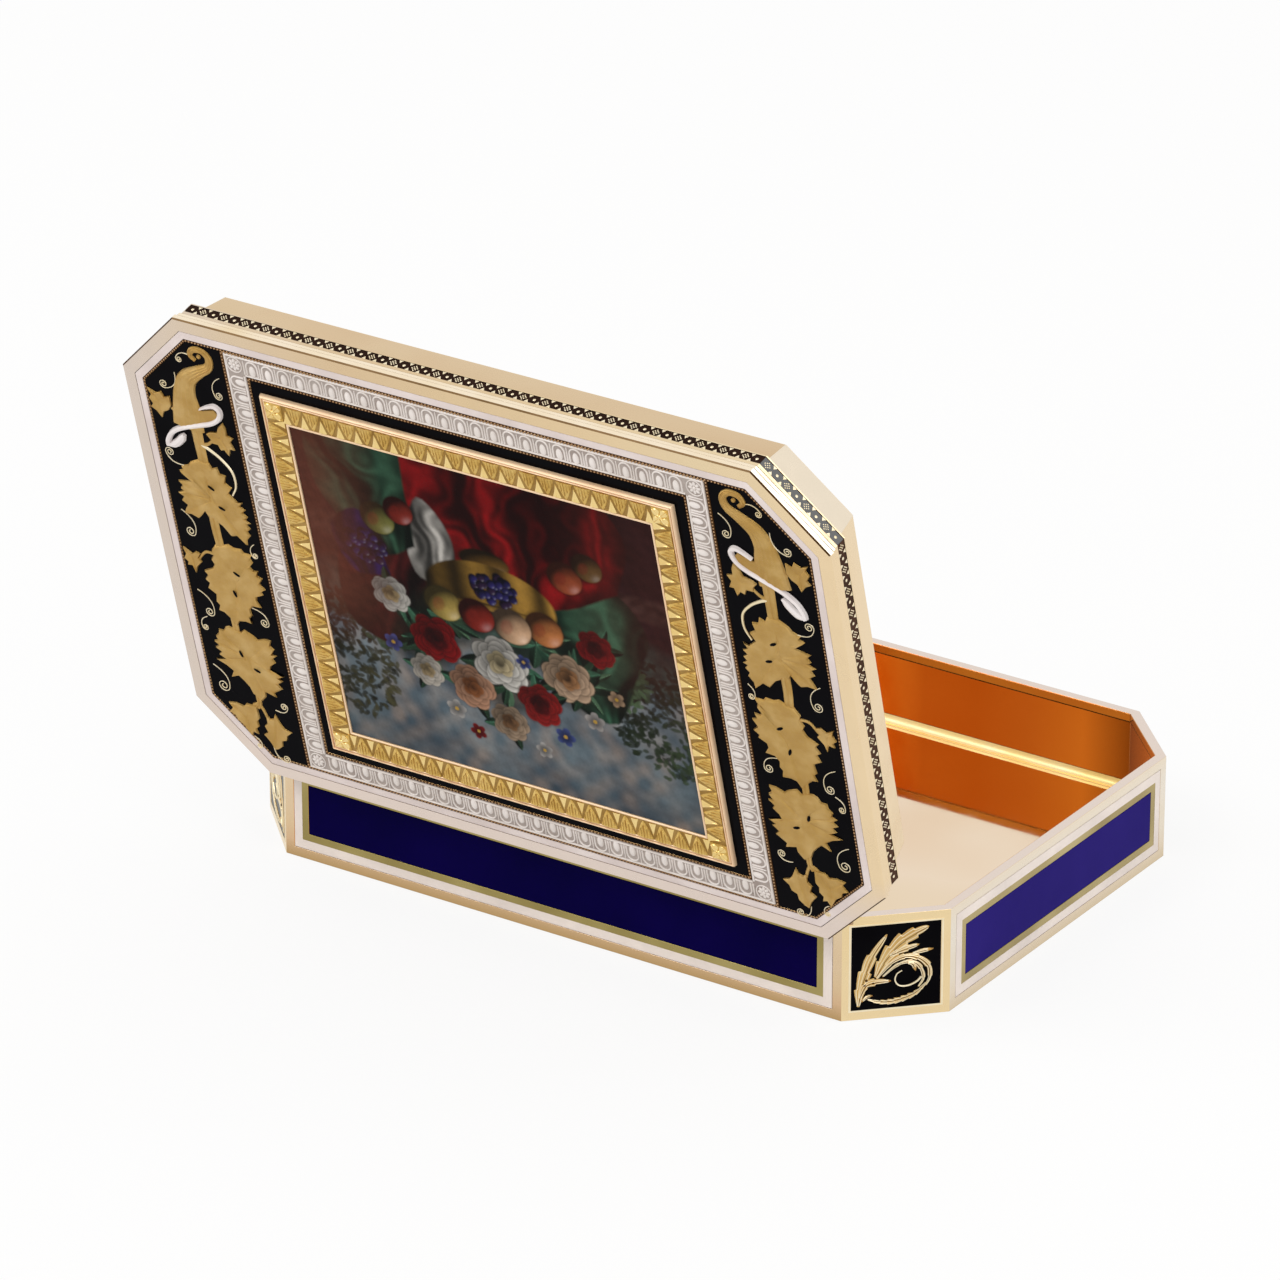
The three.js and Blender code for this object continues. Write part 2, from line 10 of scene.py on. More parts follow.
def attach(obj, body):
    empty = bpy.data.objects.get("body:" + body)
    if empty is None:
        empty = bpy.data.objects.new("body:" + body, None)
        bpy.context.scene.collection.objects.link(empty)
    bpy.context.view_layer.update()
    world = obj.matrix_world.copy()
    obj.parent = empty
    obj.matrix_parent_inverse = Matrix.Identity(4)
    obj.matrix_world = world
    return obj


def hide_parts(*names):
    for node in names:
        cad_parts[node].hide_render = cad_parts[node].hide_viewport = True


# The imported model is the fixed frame. Forms are drawn in millimetres around it.
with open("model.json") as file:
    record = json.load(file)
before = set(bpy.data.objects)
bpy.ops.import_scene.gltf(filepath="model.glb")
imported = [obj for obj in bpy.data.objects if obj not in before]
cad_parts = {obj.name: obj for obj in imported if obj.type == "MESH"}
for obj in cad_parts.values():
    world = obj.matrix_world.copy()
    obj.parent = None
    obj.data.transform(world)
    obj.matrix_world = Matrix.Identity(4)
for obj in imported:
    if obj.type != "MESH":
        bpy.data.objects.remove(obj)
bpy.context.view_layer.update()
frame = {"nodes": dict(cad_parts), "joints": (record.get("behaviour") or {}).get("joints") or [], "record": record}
MM = 0.001
TOUCH = 0.01  # points nearer than this are taken as level

# The lid's forms are drawn on the closed lid and then turned open with it
HINGE = frame["joints"][0]
HINGE_POINT = Vector(HINGE["pos_m"])
OPEN_ANGLE = math.radians(HINGE["range_deg"][1])
BASE = Matrix.Identity(4)
LID = (
    Matrix.Translation(HINGE_POINT)
    @ Matrix.Rotation(-OPEN_ANGLE, 4, Vector(HINGE["axis"]))
    @ Matrix.Translation(-HINGE_POINT)
)
NODE_BODY = {
    node: body
    for body, nodes in frame["record"]["behaviour"]["bodies"].items()
    for node in nodes
}
WALLS = ("front", "back", "left", "right")
CORNERS = ("front_left", "front_right", "back_left", "back_right")


# Measures taken from the frame
def node_points(node, place):
    """A CAD node's vertices in millimetres, seen from a place such as the closed lid."""
    back = place.inverted()
    return np.array([back @ vertex.co for vertex in frame["nodes"][node].data.vertices]) / MM


def node_box(node, place):
    points = node_points(node, place)
    return points.min(axis=0), points.max(axis=0)


def band_width(node):
    """How wide a rectangular band on the lid's face is, from its outer to its inner edge."""
    across = np.abs(node_points(node, LID)[:, 0])
    return across.max() - across.min()


RIM_POINTS = node_points("lid_rim", LID)
HALF_LENGTH, HALF_WIDTH, FACE = RIM_POINTS.max(axis=0)
CORNER_CUT = HALF_LENGTH - RIM_POINTS[RIM_POINTS[:, 1] > HALF_WIDTH - TOUCH, 0].max()


# Finishes
SPREAD = (0.3, 0.7)  # nearly all of a noise's values lie between these
WAVE_RATE = 20  # radians that the wave texture turns through in one step
POLISH_SIZE = 3  # mm across a patch of even polish
SCRATCH_SIZE = 0.5
SCRATCH_STRETCH = (0.08, 1, 1)  # scratches run along X
RUN_SCRATCH = 0.002  # their depth in golds whose painted reflections run along an axis


def tone(code):
    """A colour written as six hexadecimal digits, as the shader's own linear values."""
    parts = [int(code[i:i + 2], 16) / 255 for i in (0, 2, 4)]
    linear = [c / 12.92 if c <= 0.04045 else ((c + 0.055) / 1.055) ** 2.4 for c in parts]
    return (*linear, 1.0)


class Nodes:
    """A node tree, with short ways to add to it and to link it."""

    def __init__(self, owner):
        owner.use_nodes = True
        self.tree = owner.node_tree

    def add(self, kind, **inputs):
        node = self.tree.nodes.new(kind)
        for socket, value in inputs.items():
            node.inputs[socket.replace("_", " ")].default_value = value
        return node

    def link(self, source, target):
        self.tree.links.new(source, target)

    def combine(self, operation, first, second):
        """Two values worked into one; the second may be a plain number."""
        node = self.add("ShaderNodeMath")
        node.operation = operation
        self.link(first, node.inputs[0])
        if isinstance(second, float):
            node.inputs[1].default_value = second
        else:
            self.link(second, node.inputs[1])
        return node.outputs[0]

    def blend(self, share, first, second, output):
        """Mixes two shaders and sends them to the tree's output."""
        mix = self.add("ShaderNodeMixShader")
        self.link(share, mix.inputs["Fac"])
        self.link(first.outputs[0], mix.inputs[1])
        self.link(second.outputs[0], mix.inputs[2])
        self.link(mix.outputs[0], self.tree.nodes[output].inputs["Surface"])


class Finish(Nodes):
    """A material in the making: one surface shader with textures linked to it."""

    def __init__(self, name, **values):
        self.material = bpy.data.materials.new(name)
        super().__init__(self.material)
        self.shader = self.tree.nodes["Principled BSDF"]
        for socket, value in values.items():
            self.shader.inputs[socket.replace("_", " ")].default_value = value

    def places(self, size, stretch=(1, 1, 1)):
        """The piece's own coordinates, counted in steps of size millimetres."""
        steps = [part / (size * MM) for part in stretch]
        mapping = self.add("ShaderNodeMapping", Scale=steps)
        self.link(self.add("ShaderNodeTexCoord").outputs["Object"], mapping.inputs["Vector"])
        return mapping.outputs["Vector"]

    def noise(self, size, detail=3, stretch=(1, 1, 1)):
        """Cloudy noise with patches about size millimetres across."""
        noise = self.add("ShaderNodeTexNoise", Scale=1, Detail=detail)
        self.link(self.places(size, stretch), noise.inputs["Vector"])
        return noise.outputs["Fac"]

    def remap(self, source, old, new):
        """A value carried from one range to another."""
        node = self.add("ShaderNodeMapRange", From_Min=old[0], From_Max=old[1], To_Min=new[0], To_Max=new[1])
        self.link(source, node.inputs["Value"])
        return node.outputs["Result"]

    def run(self, axis, low, high):
        """How far along an axis a point lies between two measures in mm, spread as noise is."""
        split = self.add("ShaderNodeSeparateXYZ")
        self.link(self.places(1), split.inputs["Vector"])
        return self.remap(split.outputs[axis], (low, high), SPREAD)

    def waves(self, size, direction, distortion):
        """Fine parallel lines, size millimetres apart."""
        wave = self.add("ShaderNodeTexWave", Scale=1, Distortion=distortion, Detail=1)
        wave.bands_direction = direction
        self.link(self.places(size * 2 * math.pi / WAVE_RATE), wave.inputs["Vector"])
        return wave.outputs["Fac"]

    def colours(self, source, tones):
        """Base colour from a ramp of tones, evenly spread over the middle of the source."""
        codes = tones.split()
        ramp = self.add("ShaderNodeValToRGB")
        stops = ramp.color_ramp.elements
        while len(stops) < len(codes):
            stops.new(0.5)
        for i, place in enumerate(np.linspace(*SPREAD, len(codes))):
            stops[i].position = place
            stops[i].color = tone(codes[i])
        self.link(source, ramp.inputs["Fac"])
        self.link(ramp.outputs["Color"], self.shader.inputs["Base Color"])
        return ramp.outputs["Color"]

    def fade(self, colour, source, code):
        """Fades a colour to another tone where the source is low."""
        mix = self.add("ShaderNodeMixRGB", Color1=tone(code))
        self.link(self.remap(source, SPREAD, (0, 1)), mix.inputs["Fac"])
        self.link(colour, mix.inputs["Color2"])
        self.link(mix.outputs["Color"], self.shader.inputs["Base Color"])

    def roughness(self, source, low, high):
        self.link(self.remap(source, SPREAD, (low, high)), self.shader.inputs["Roughness"])

    def bump(self, source, depth):
        bump = self.add("ShaderNodeBump", Strength=1, Distance=depth * MM)
        self.link(source, bump.inputs["Height"])
        self.link(bump.outputs["Normal"], self.shader.inputs["Normal"])


def polished(finish, rough, scratch_depth):
    """Gives a gold its uneven polish and its fine hairline scratches."""
    finish.roughness(finish.noise(POLISH_SIZE, detail=4), *rough)
    finish.bump(finish.noise(SCRATCH_SIZE, detail=4, stretch=SCRATCH_STRETCH), scratch_depth)
    return finish.material


def gold_finish(name, tones, rough, scratch_depth, tint_size=22, metallic=1.0):
    """Gold with slow changes of tint."""
    finish = Finish(name, Metallic=metallic)
    finish.colours(finish.noise(tint_size, detail=2), tones)
    return polished(finish, rough, scratch_depth)


def painted_reflection_gold(name, axis, ends, tones, rough, foot=None):
    """Gold with painted reflections: its colour changes along an axis between two measures in mm, with what it
    mirrors there.

    A foot is a tone that the painted reflection fades to near the base, and the heights where that is full and
    where it ends.
    """
    finish = Finish(name, Metallic=1.0)
    colour = finish.colours(finish.run(axis, *ends), tones)
    if foot:
        code, *heights = foot
        finish.fade(colour, finish.run("Z", *heights), code)
    return polished(finish, rough, RUN_SCRATCH)


def engraved_gold(name, tones, line_size):
    """Matt gold, worked over with fine graver lines."""
    finish = Finish(name, Metallic=1.0)
    finish.colours(finish.noise(size=2.2, detail=4), tones)
    finish.roughness(finish.noise(size=0.8), low=0.3, high=0.48)
    finish.bump(finish.waves(line_size, "DIAGONAL", distortion=3), depth=0.012)
    return finish.material


def enamel_finish(name, tones, gloss, cloud_size):
    """Fused glass: a smooth deep colour with faint clouds and a slight ripple from the fire."""
    finish = Finish(name, Specular_IOR_Level=gloss)
    finish.colours(finish.noise(cloud_size, detail=4), tones)
    finish.roughness(finish.noise(size=1.6), low=0.07, high=0.16)
    finish.bump(finish.noise(size=2.6, detail=2), depth=0.02)
    return finish.material


def painted_finish(name, attribute):
    """Enamel painting: the colours lie in the mesh, under a glossy flux."""
    finish = Finish(name, Specular_IOR_Level=0.04)
    paint = finish.add("ShaderNodeVertexColor")
    paint.layer_name = attribute
    finish.link(paint.outputs["Color"], finish.shader.inputs["Base Color"])
    finish.roughness(finish.noise(size=1.2), low=0.1, high=0.22)
    finish.bump(finish.noise(size=0.6, stretch=(1, 0.4, 1)), depth=0.012)
    return finish.material


# Painted reflections and shade: tones along the rim from its left end to its right, up the long and the end walls
# from the table, and along the inside wall from painted shade at its far end to the lid's glow painted in it
RIM_TONES = "ecd3ab e6d0a9 e2c89f dec49c dabf99 dcc6a8 d8cabe"
BASE_TONES = "b69666 d6b48e dcc098 dec4a0 dec4a0 e0c8a4 e2cca8"
END_TONES = "d6c2a2 e4d4bc e8dcc8 e8dcc8 eae0d0 eae0d0 eadcc6"
INNER_TONES = "8a5424 e49846 d6823a cf752c d2782e ffa84c ffb45c"
RIM_RUN = (-HALF_LENGTH, HALF_LENGTH)  # the runs are in mm
WALL_RUN = (0, 12)
INNER_RUN = (-37, 5)
# a paler tone painted on the rim near its lower edge, part of its painted reflection
RIM_FOOT = ("e0d0c4", 14, 21)

# Ranges of roughness that several golds share
GLOSSY = (0.05, 0.11)
SATIN = (0.16, 0.3)
SILKY = (0.2, 0.3)
SOFT = (0.2, 0.34)
MATT = (0.4, 0.55)

GOLD = gold_finish("pale_gold", "d2b48c d8be98 d2ba90", SATIN, 0.003)
MIRROR_GOLD = gold_finish("mirror_gold", "e4c8a8 e9d4ba e4ceac", (0.03, 0.07), 0.0006, 30)
END_GOLD = painted_reflection_gold("end_gold", "Z", WALL_RUN, END_TONES, SATIN)
RIM_GOLD = painted_reflection_gold("rim_gold", "X", RIM_RUN, RIM_TONES, SATIN, RIM_FOOT)
BASE_GOLD = painted_reflection_gold("base_gold", "Z", WALL_RUN, BASE_TONES, SATIN)
INNER_GOLD = painted_reflection_gold("inner_wall_gold", "X", INNER_RUN, INNER_TONES, GLOSSY)
# Paler gold on the wall's outer cut corners and another tone on its inner ones: painted light and reflection
CUT_GOLD = gold_finish("cut_corner_gold", "e6cc98 ecd4a6 e8ce9e", SATIN, 0.003)
CORNER_GOLD = gold_finish("inner_corner_gold", "c88450 d0905c c48048", (0.08, 0.14), 0.001, 18)
LID_INNER_GOLD = gold_finish("lid_inner_gold", "ecc080 f0cc94 e8c286", GLOSSY, 0.001, 30)
# Smoother, paler gold for the lotus darts and corner flowers: the polish is real, the paler colour a painted
# highlight
BRIGHT_GOLD = gold_finish("bright_gold", "e4c37a eed290 e8ca82", (0.14, 0.26), 0.003, 6)
# Pale gold for fine raised lines; on the scrolls it is painted highlight
LINE_GOLD = gold_finish("line_gold", "ecdab0 f4e6c6 eedeb8", (0.3, 0.42), 0.002, 5)
# Reed golds: paler gold painted on the reeds as their highlight, brightest for the glint on the cut corners
REED_GOLD = gold_finish("reed_gold", "f0dcba f6e6cc ecd6b0", SILKY, 0.002, 12)
GLINT_GOLD = gold_finish("glint_gold", "fbeccc fff6e2 faeac4", SILKY, 0.002, 12)
RAIL_GOLD = gold_finish("rail_gold", "eec8a0 f4d4ae f0cca2", (0.35, 0.45), 0.002, 9, 0.4)
# Pale, half-metallic gold for the floor's round: a painted highlight
LIT_FILLET_GOLD = gold_finish("fillet_gold", "ffeca0 fff2ba ffe89a", (0.32, 0.42), 0.002, 9, 0.3)
BEAD_GOLD = gold_finish("bead_gold", "a07c58 b08c66 ba9a78", (0.3, 0.45), 0.002, 5)
OLIVE_GOLD = gold_finish("olive_gold", "8a7a48 9c8c56 aa9a64", SOFT, 0.003, 8)
# The olive line is its own colour; on the end walls it is painted lighter, for the light falling there
LIT_END_OLIVE = gold_finish("end_olive_gold", "9a8858 ae9c68 bcaa78", SOFT, 0.003, 8)
# Groove golds: dark gold as painted shade in grooves, gaps and fine lines, fainter on the long sides
GROOVE_GOLD = gold_finish("groove_gold", "402812 50341a 5e4222", MATT, 0.004, 4)
FAINT_GROOVE = gold_finish("faint_groove_gold", "6a5234 785e40 846a4a", MATT, 0.004, 4)
# Lighter gold for the strip at the top of the inside wall: a painted highlight
LIP_GOLD = gold_finish("lip_gold", "c88844 d09850 cc8e4a", (0.06, 0.12), 0.001, 18)
ORNAMENT_GOLD = engraved_gold("engraved_gold", "bb9450 c49e5a cfac6c", 0.3)
SCROLL_GOLD = engraved_gold("scroll_gold", "d8aa60 e2bc78 eacc90", 0.25)
SHADE_GOLD = engraved_gold("shade_gold", "987438 aa8648 b89454", 0.22)
FRAME_GOLD = engraved_gold("frame_gold", "d4ad5a e0bc6a e8c87c", 0.22)
BLUE_ENAMEL = enamel_finish("blue_enamel", "040036 06003c 080142", 0.015, 14)
# The blue of the end walls is painted lighter, for the light that falls on them
LIT_END_BLUE = enamel_finish("blue_enamel_ends", "1f126a 231570 271976", 0.015, 14)
WHITE_ENAMEL = enamel_finish("white_enamel", "e0d4cb e8dcd3 f0e4da", 0.4, 5)
LINE_WHITE = enamel_finish("line_white_enamel", "d4c6c0 ded0cb e8dcd7", 0.3, 6)
EGG_WHITE = enamel_finish("relief_white_enamel", "dad1ca e2dad4 eae2dd", 0.3, 3)
# Grey ground of the white frame: painted shade in the hollows round the raised eggs and darts
SHADED_WHITE = enamel_finish("shaded_white_enamel", "9c8e86 a89c94 b2a69e", 0.3, 2)
RIBBON_WHITE = enamel_finish("ribbon_white_enamel", "dcd2d0 e6dedc eee8e6", 0.3, 3)
BLACK_ENAMEL = enamel_finish("black_enamel", "040305 060508 070709", 0.02, 6)
BAND_ENAMEL = enamel_finish("band_enamel", "22120a 28160e 2e1a12", 0.02, 6)
CUT_BAND = enamel_finish("band_enamel_cuts", "0a0806 0e0a08 120e0a", 0.7, 6)
LIT_END_BAND = enamel_finish("band_enamel_ends", "3e281c 462e20 4e3426", 0.02, 6)
PAINTED_ENAMEL = painted_finish("painted_enamel", "paint")


# Outlines are anticlockwise lists of points
def rectangle(half_x, half_y):
    return np.array([[half_x, -half_y], [half_x, half_y], [-half_x, half_y], [-half_x, -half_y]])


def lid_octagon():
    x, y, cut = HALF_LENGTH, HALF_WIDTH, CORNER_CUT
    return np.array([
        [x, cut - y], [x, y - cut], [x - cut, y], [cut - x, y],
        [-x, y - cut], [-x, cut - y], [cut - x, -y], [x - cut, -y],
    ])


def left_of(steps):
    """Unit vectors to the left of a list of steps."""
    left = np.stack([-steps[:, 1], steps[:, 0]], axis=1)
    return left / np.linalg.norm(left, axis=1, keepdims=True)


def inset(outline, distance):
    """An outline drawn in by a distance."""
    points = np.asarray(outline, float)
    ahead = left_of(np.roll(points, -1, axis=0) - points)
    behind = np.roll(ahead, 1, axis=0)
    lean = 1 + (ahead * behind).sum(axis=1, keepdims=True)
    return points + distance * (ahead + behind) / lean


def sides(outline, height):
    """Each side's length, and its place: x along the side, y inwards, z up."""
    for start, end in zip(outline, np.roll(outline, -1, axis=0)):
        run = Vector((*(end - start), 0))
        inward = Vector((-run.y, run.x, 0)).normalized()
        place = Matrix.Translation((*(start + end) / 2, height))
        turn = Matrix((run.normalized(), inward, (0, 0, 1))).transposed().to_4x4()
        yield run.length, place @ turn


def at(x, y=0.0, z=0.0, turn=0.0):
    """A place on a flat face, turned by degrees."""
    return Matrix.Translation((x, y, z)) @ Matrix.Rotation(math.radians(turn), 4, "Z")


def spaced(length, pitch):
    """Middles of equal steps that fill a length, each about one pitch long, and the step."""
    count = max(1, round(length / pitch))
    step = length / count
    return [(i + 0.5) * step - length / 2 for i in range(count)], step


def arc(radius, start, end, step, y=0.0):
    """Points round a middle on the Y axis, from one angle to another in degrees."""
    turns = np.radians(np.arange(start, end + 1, step))
    return [(radius * math.cos(t), y + radius * math.sin(t)) for t in turns]


# Closed forms: points and faces
SHARP_ANGLE = math.radians(35)
DOME_LIFTS = (0, 30, 58, 80)  # degrees up a dome's side
FEW_SIDES = 8  # facets round a small dome
ROUND = ((-1, 0), (-0.72, 0.68), (0, 1), (0.72, 0.68), (1, 0))
RIBBED = ((-1, 0), (-0.8, 0.55), (-0.42, 0.8), (-0.12, 0.66), (0, 1),
          (0.12, 0.66), (0.42, 0.8), (0.8, 0.55), (1, 0))
FLUTED = ((-1, 0), (-0.9, 0.5), (-0.62, 0.75), (-0.5, 0.6), (-0.25, 0.98), (-0.12, 0.82),
          (0.12, 1), (0.25, 0.82), (0.5, 0.85), (0.62, 0.6), (0.9, 0.5), (1, 0))


def loft(rows, looped=False):
    """A form through rows of points: capped at both ends, or looped back to the first row."""
    count = len(rows[0])
    last = len(rows) - 1
    faces = []
    for r in range(last + looped):
        upper = ((r + 1) % len(rows)) * count
        for i in range(count):
            j = (i + 1) % count
            faces.append([r * count + i, r * count + j, upper + j, upper + i])
    if not looped:
        faces.append(list(range(count))[::-1])
        faces.append([last * count + i for i in range(count)])
    return np.concatenate(rows), faces


def smooth(points, spans=6):
    """A smooth path through points, with a few steps in each span."""
    points = np.asarray(points, float)
    ends = np.concatenate([[2 * points[0] - points[1]], points, [2 * points[-1] - points[-2]]])
    path = []
    for a, b, c, d in zip(ends, ends[1:], ends[2:], ends[3:]):
        for t in np.arange(spans) / spans:
            path.append(0.5 * (2 * b + (c - a) * t + (2 * a - 5 * b + 4 * c - d) * t ** 2
                               + (3 * b - a - 3 * c + d) * t ** 3))
    return np.array([*path, points[-1]])


def along(measure, count):
    """A measure at each step of a path, from one number, a list or a rule for the share of its run."""
    if callable(measure):
        return [measure(i / (count - 1)) for i in range(count)]
    return np.broadcast_to(measure, count)


def taper(start, end):
    """A measure that changes evenly along a path."""
    return lambda share: start + (end - start) * share


def ridge(path, half_width, height, profile=ROUND):
    """A raised line along a flat path."""
    path = np.asarray(path, float)
    left = left_of(np.gradient(path, axis=0))
    steps = zip(path, left, along(half_width, len(path)), along(height, len(path)))
    return loft([
        [[*(point + side * u * wide), v * high] for u, v in profile]
        for point, side, wide, high in steps
    ])


def dome(half_x, half_y, height, around=10):
    turns = 2 * np.pi * np.arange(around) / around
    rows = []
    for lift in np.radians(DOME_LIFTS):
        scale, rise = math.cos(lift), height * math.sin(lift)
        rows.append([[half_x * scale * math.cos(t), half_y * scale * math.sin(t), rise] for t in turns])
    return loft(rows)


def pad(outline, height, edge):
    """A flat raised shape with a bevelled edge."""
    levels = ((0, 0), (0, height - edge), (edge, height))
    return loft([[[*p, z] for p in inset(outline, draw)] for draw, z in levels])


def moulding(outline, section):
    """A closed frame: the section lists how far in and how high, all the way round."""
    return loft([[[*p, z] for p in inset(outline, draw)] for draw, z in section], looped=True)


class Shape:
    """Closed forms gathered into one piece."""

    def __init__(self):
        self.points = []
        self.faces = []

    def add(self, form, place=BASE):
        points, faces = form
        turn = np.array(place)
        start = len(self.points)
        self.points.extend(np.asarray(points) @ turn[:3, :3].T + turn[:3, 3])
        self.faces.extend([start + i for i in face] for face in faces)

    def mesh(self, name):
        mesh = bpy.data.meshes.new(name)
        mesh.from_pydata([tuple(point * MM) for point in self.points], [], self.faces)
        work = bmesh.new()
        work.from_mesh(mesh)
        bmesh.ops.recalc_face_normals(work, faces=work.faces)
        work.to_mesh(mesh)
        work.free()
        return mesh


def place_piece(name, mesh, materials, body, place=BASE):
    """A finished piece, standing in its place and riding on its body."""
    for material in materials:
        mesh.materials.append(material)
    mesh.shade_smooth()
    mesh.set_sharp_from_angle(angle=SHARP_ANGLE)
    piece = bpy.data.objects.new(name, mesh)
    bpy.context.scene.collection.objects.link(piece)
    piece.matrix_world = place
    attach(piece, body)
    return piece


def base_piece(name, shape, material):
    return place_piece(name, shape.mesh(name), [material], "base")


def lid_piece(name, shape, material):
    return place_piece(name, shape.mesh(name), [material], "lid", LID)


# CAD nodes with their edges rounded
FLAT_ANGLE = math.radians(0.5)
EDGE_ANGLE = math.radians(28)
JOIN_GAP = 0.0005  # vertices nearer than this are one
FINE_ROUND = 0.03
ENAMEL_ROUND = 0.05
KNUCKLE_ROUND = 0.06
WALL_ROUND = 0.07
BEZEL_ROUND = 0.08
BOTTOM_ROUND = 0.1


def rounded_mesh(node, edge):
    """A copy of a node's mesh with flat faces joined up and sharp edges rounded."""
    mesh = frame["nodes"][node].data.copy()
    mesh.name = f"{node}_rounded"
    mesh.materials.clear()
    work = bmesh.new()
    work.from_mesh(mesh)
    bmesh.ops.remove_doubles(work, verts=work.verts, dist=JOIN_GAP * MM)
    bmesh.ops.dissolve_limit(work, angle_limit=FLAT_ANGLE, verts=work.verts, edges=work.edges)
    sharp = [e for e in work.edges if e.is_manifold and e.calc_face_angle() > EDGE_ANGLE]
    bmesh.ops.bevel(work, geom=sharp, offset=edge * MM, segments=2, profile=0.5,
                    affect="EDGES", clamp_overlap=True)
    bmesh.ops.recalc_face_normals(work, faces=work.faces)
    work.to_mesh(mesh)
    work.free()
    return mesh


def round_node(node, materials, edge=ENAMEL_ROUND, pick=None):
    """Stands a rounded copy in for a node; pick chooses one of its materials for each face."""
    mesh = rounded_mesh(node, edge)
    piece = place_piece(f"{node}_finished", mesh, materials, NODE_BODY[node])
    if pick:
        for face in mesh.polygons:
            face.material_index = materials.index(pick(face))
    piece.modifiers.new("even_shading", "WEIGHTED_NORMAL").keep_sharp = True
    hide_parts(node)


# Which finish a face has. The limits are shares of its unit normal that look one way.
LEANS = 0.4
SQUARE = 0.9
SIDEWAYS = 0.2
INTO_LID = 0.5
INTO_GROOVE = 0.25
FLOOR_ROUND = (0.05, 0.98)
WHITE_LINE_BOXES = [node_box(f"white_line_{side}", BASE) for side in WALLS]


# The wall's faces are toned apart by where they face (tops, ends, cut corners, inside): painted light and
# reflection
def wall_gold(face):
    on_cut = min(abs(face.normal.x), abs(face.normal.y)) > LEANS
    at_end = abs(face.normal.x) > SQUARE
    if face.normal.dot(Vector((face.center.x, face.center.y, 0)).normalized()) < -LEANS:
        return CORNER_GOLD if on_cut else INNER_GOLD
    points = np.array([face.id_data.vertices[i].co for i in face.vertices]) / MM
    for low, high in WHITE_LINE_BOXES:
        if np.all(points > low - TOUCH) and np.all(points < high + TOUCH):
            return LIT_END_OLIVE if at_end else OLIVE_GOLD
    if on_cut:
        return CUT_GOLD
    if at_end:
        return END_GOLD
    return RIM_GOLD if face.normal.z > SQUARE else BASE_GOLD


def floor_gold(face):
    """The round that turns up to the wall is painted paler than the flat floor, as a highlight from the light it
    catches.
    """
    return LIT_FILLET_GOLD if FLOOR_ROUND[0] < face.normal.z < FLOOR_ROUND[1] else MIRROR_GOLD


LID_INSIDE = LID.to_3x3() @ Vector((0, 0, -1))
LID_MIDDLE = LID @ Vector((0, 0, FACE * MM))
REED_REACH = 2.0  # the reeds reach this far down from the lid's face
REED_SHARE = 0.62  # of that, the part that catches the light
# Groove golds are painted shade and reed golds painted highlights, stronger on the cut corners
GROOVES = {"long": FAINT_GROOVE, "cut": GROOVE_GOLD}
REEDS = {"long": REED_GOLD, "cut": GLINT_GOLD}
# Bezel sides by where they face: paler gold on the cut corners and rim gold at the ends, painted reflections
BEZEL_GOLDS = {"long": GOLD, "cut": END_GOLD, "end": RIM_GOLD}
# The band's enamel on the lid's ends is painted lighter, for the light on them; the cut corners' is darker but
# glossy
BAND_ENAMELS = {"long": BAND_ENAMEL, "cut": CUT_BAND, "end": LIT_END_BAND}


def lid_side(face):
    """Whether a face lies along the lid's long sides, on its cut corners or at its ends."""
    normal = LID.to_3x3().transposed() @ face.normal
    if abs(normal.x) < SIDEWAYS:
        return "long"
    return "cut" if abs(normal.y) > SIDEWAYS else "end"


def lid_outward(face):
    """From the lid's middle to a face, along the lid, and how far the face lies under the lid's top."""
    outward = face.center - LID_MIDDLE
    depth = outward.dot(LID_INSIDE)
    return (outward - depth * LID_INSIDE).normalized(), depth / MM


def rim_gold(face):
    """Painted shade in the grooves and painted highlights on the reeds, on the long sides and the cut corners, and
    plain gold elsewhere.
    """
    outward, depth = lid_outward(face)
    side = lid_side(face)
    if face.normal.dot(outward) < SIDEWAYS or depth > REED_REACH or side == "end":
        return RIM_GOLD
    if abs(face.normal.dot(LID_INSIDE)) > INTO_GROOVE:
        return GROOVES[side]
    return REEDS[side] if depth < REED_SHARE * REED_REACH else RIM_GOLD


def looks_into_lid(face):
    """True for the faces that are seen inside the open lid."""
    return face.normal.dot(LID_INSIDE) > INTO_LID or face.normal.dot(lid_outward(face)[0]) < -LEANS


# The plate's face between the enamels is dark gold, painted shade round the beads on it
def plate_gold(face):
    return LID_INNER_GOLD if looks_into_lid(face) else GROOVE_GOLD


def bezel_gold(face):
    return LID_INNER_GOLD if looks_into_lid(face) else BEZEL_GOLDS[lid_side(face)]


def band_enamel(face):
    return BAND_ENAMELS[lid_side(face)]


def dress_base():
    golds = [BASE_GOLD, INNER_GOLD, CORNER_GOLD, OLIVE_GOLD, END_GOLD, RIM_GOLD, CUT_GOLD, LIT_END_OLIVE]
    round_node("base_wall", golds, WALL_ROUND, wall_gold)
    round_node("inner_floor", [MIRROR_GOLD, LIT_FILLET_GOLD], FINE_ROUND, floor_gold)
    round_node("bottom_plate", [GOLD], BOTTOM_ROUND)
    for side in WALLS:
        round_node(f"blue_panel_{side}", [LIT_END_BLUE if side in ("left", "right") else BLUE_ENAMEL])
        round_node(f"white_line_{side}", [WHITE_ENAMEL])
    for corner in CORNERS:
        round_node(f"corner_panel_{corner}", [BLACK_ENAMEL])


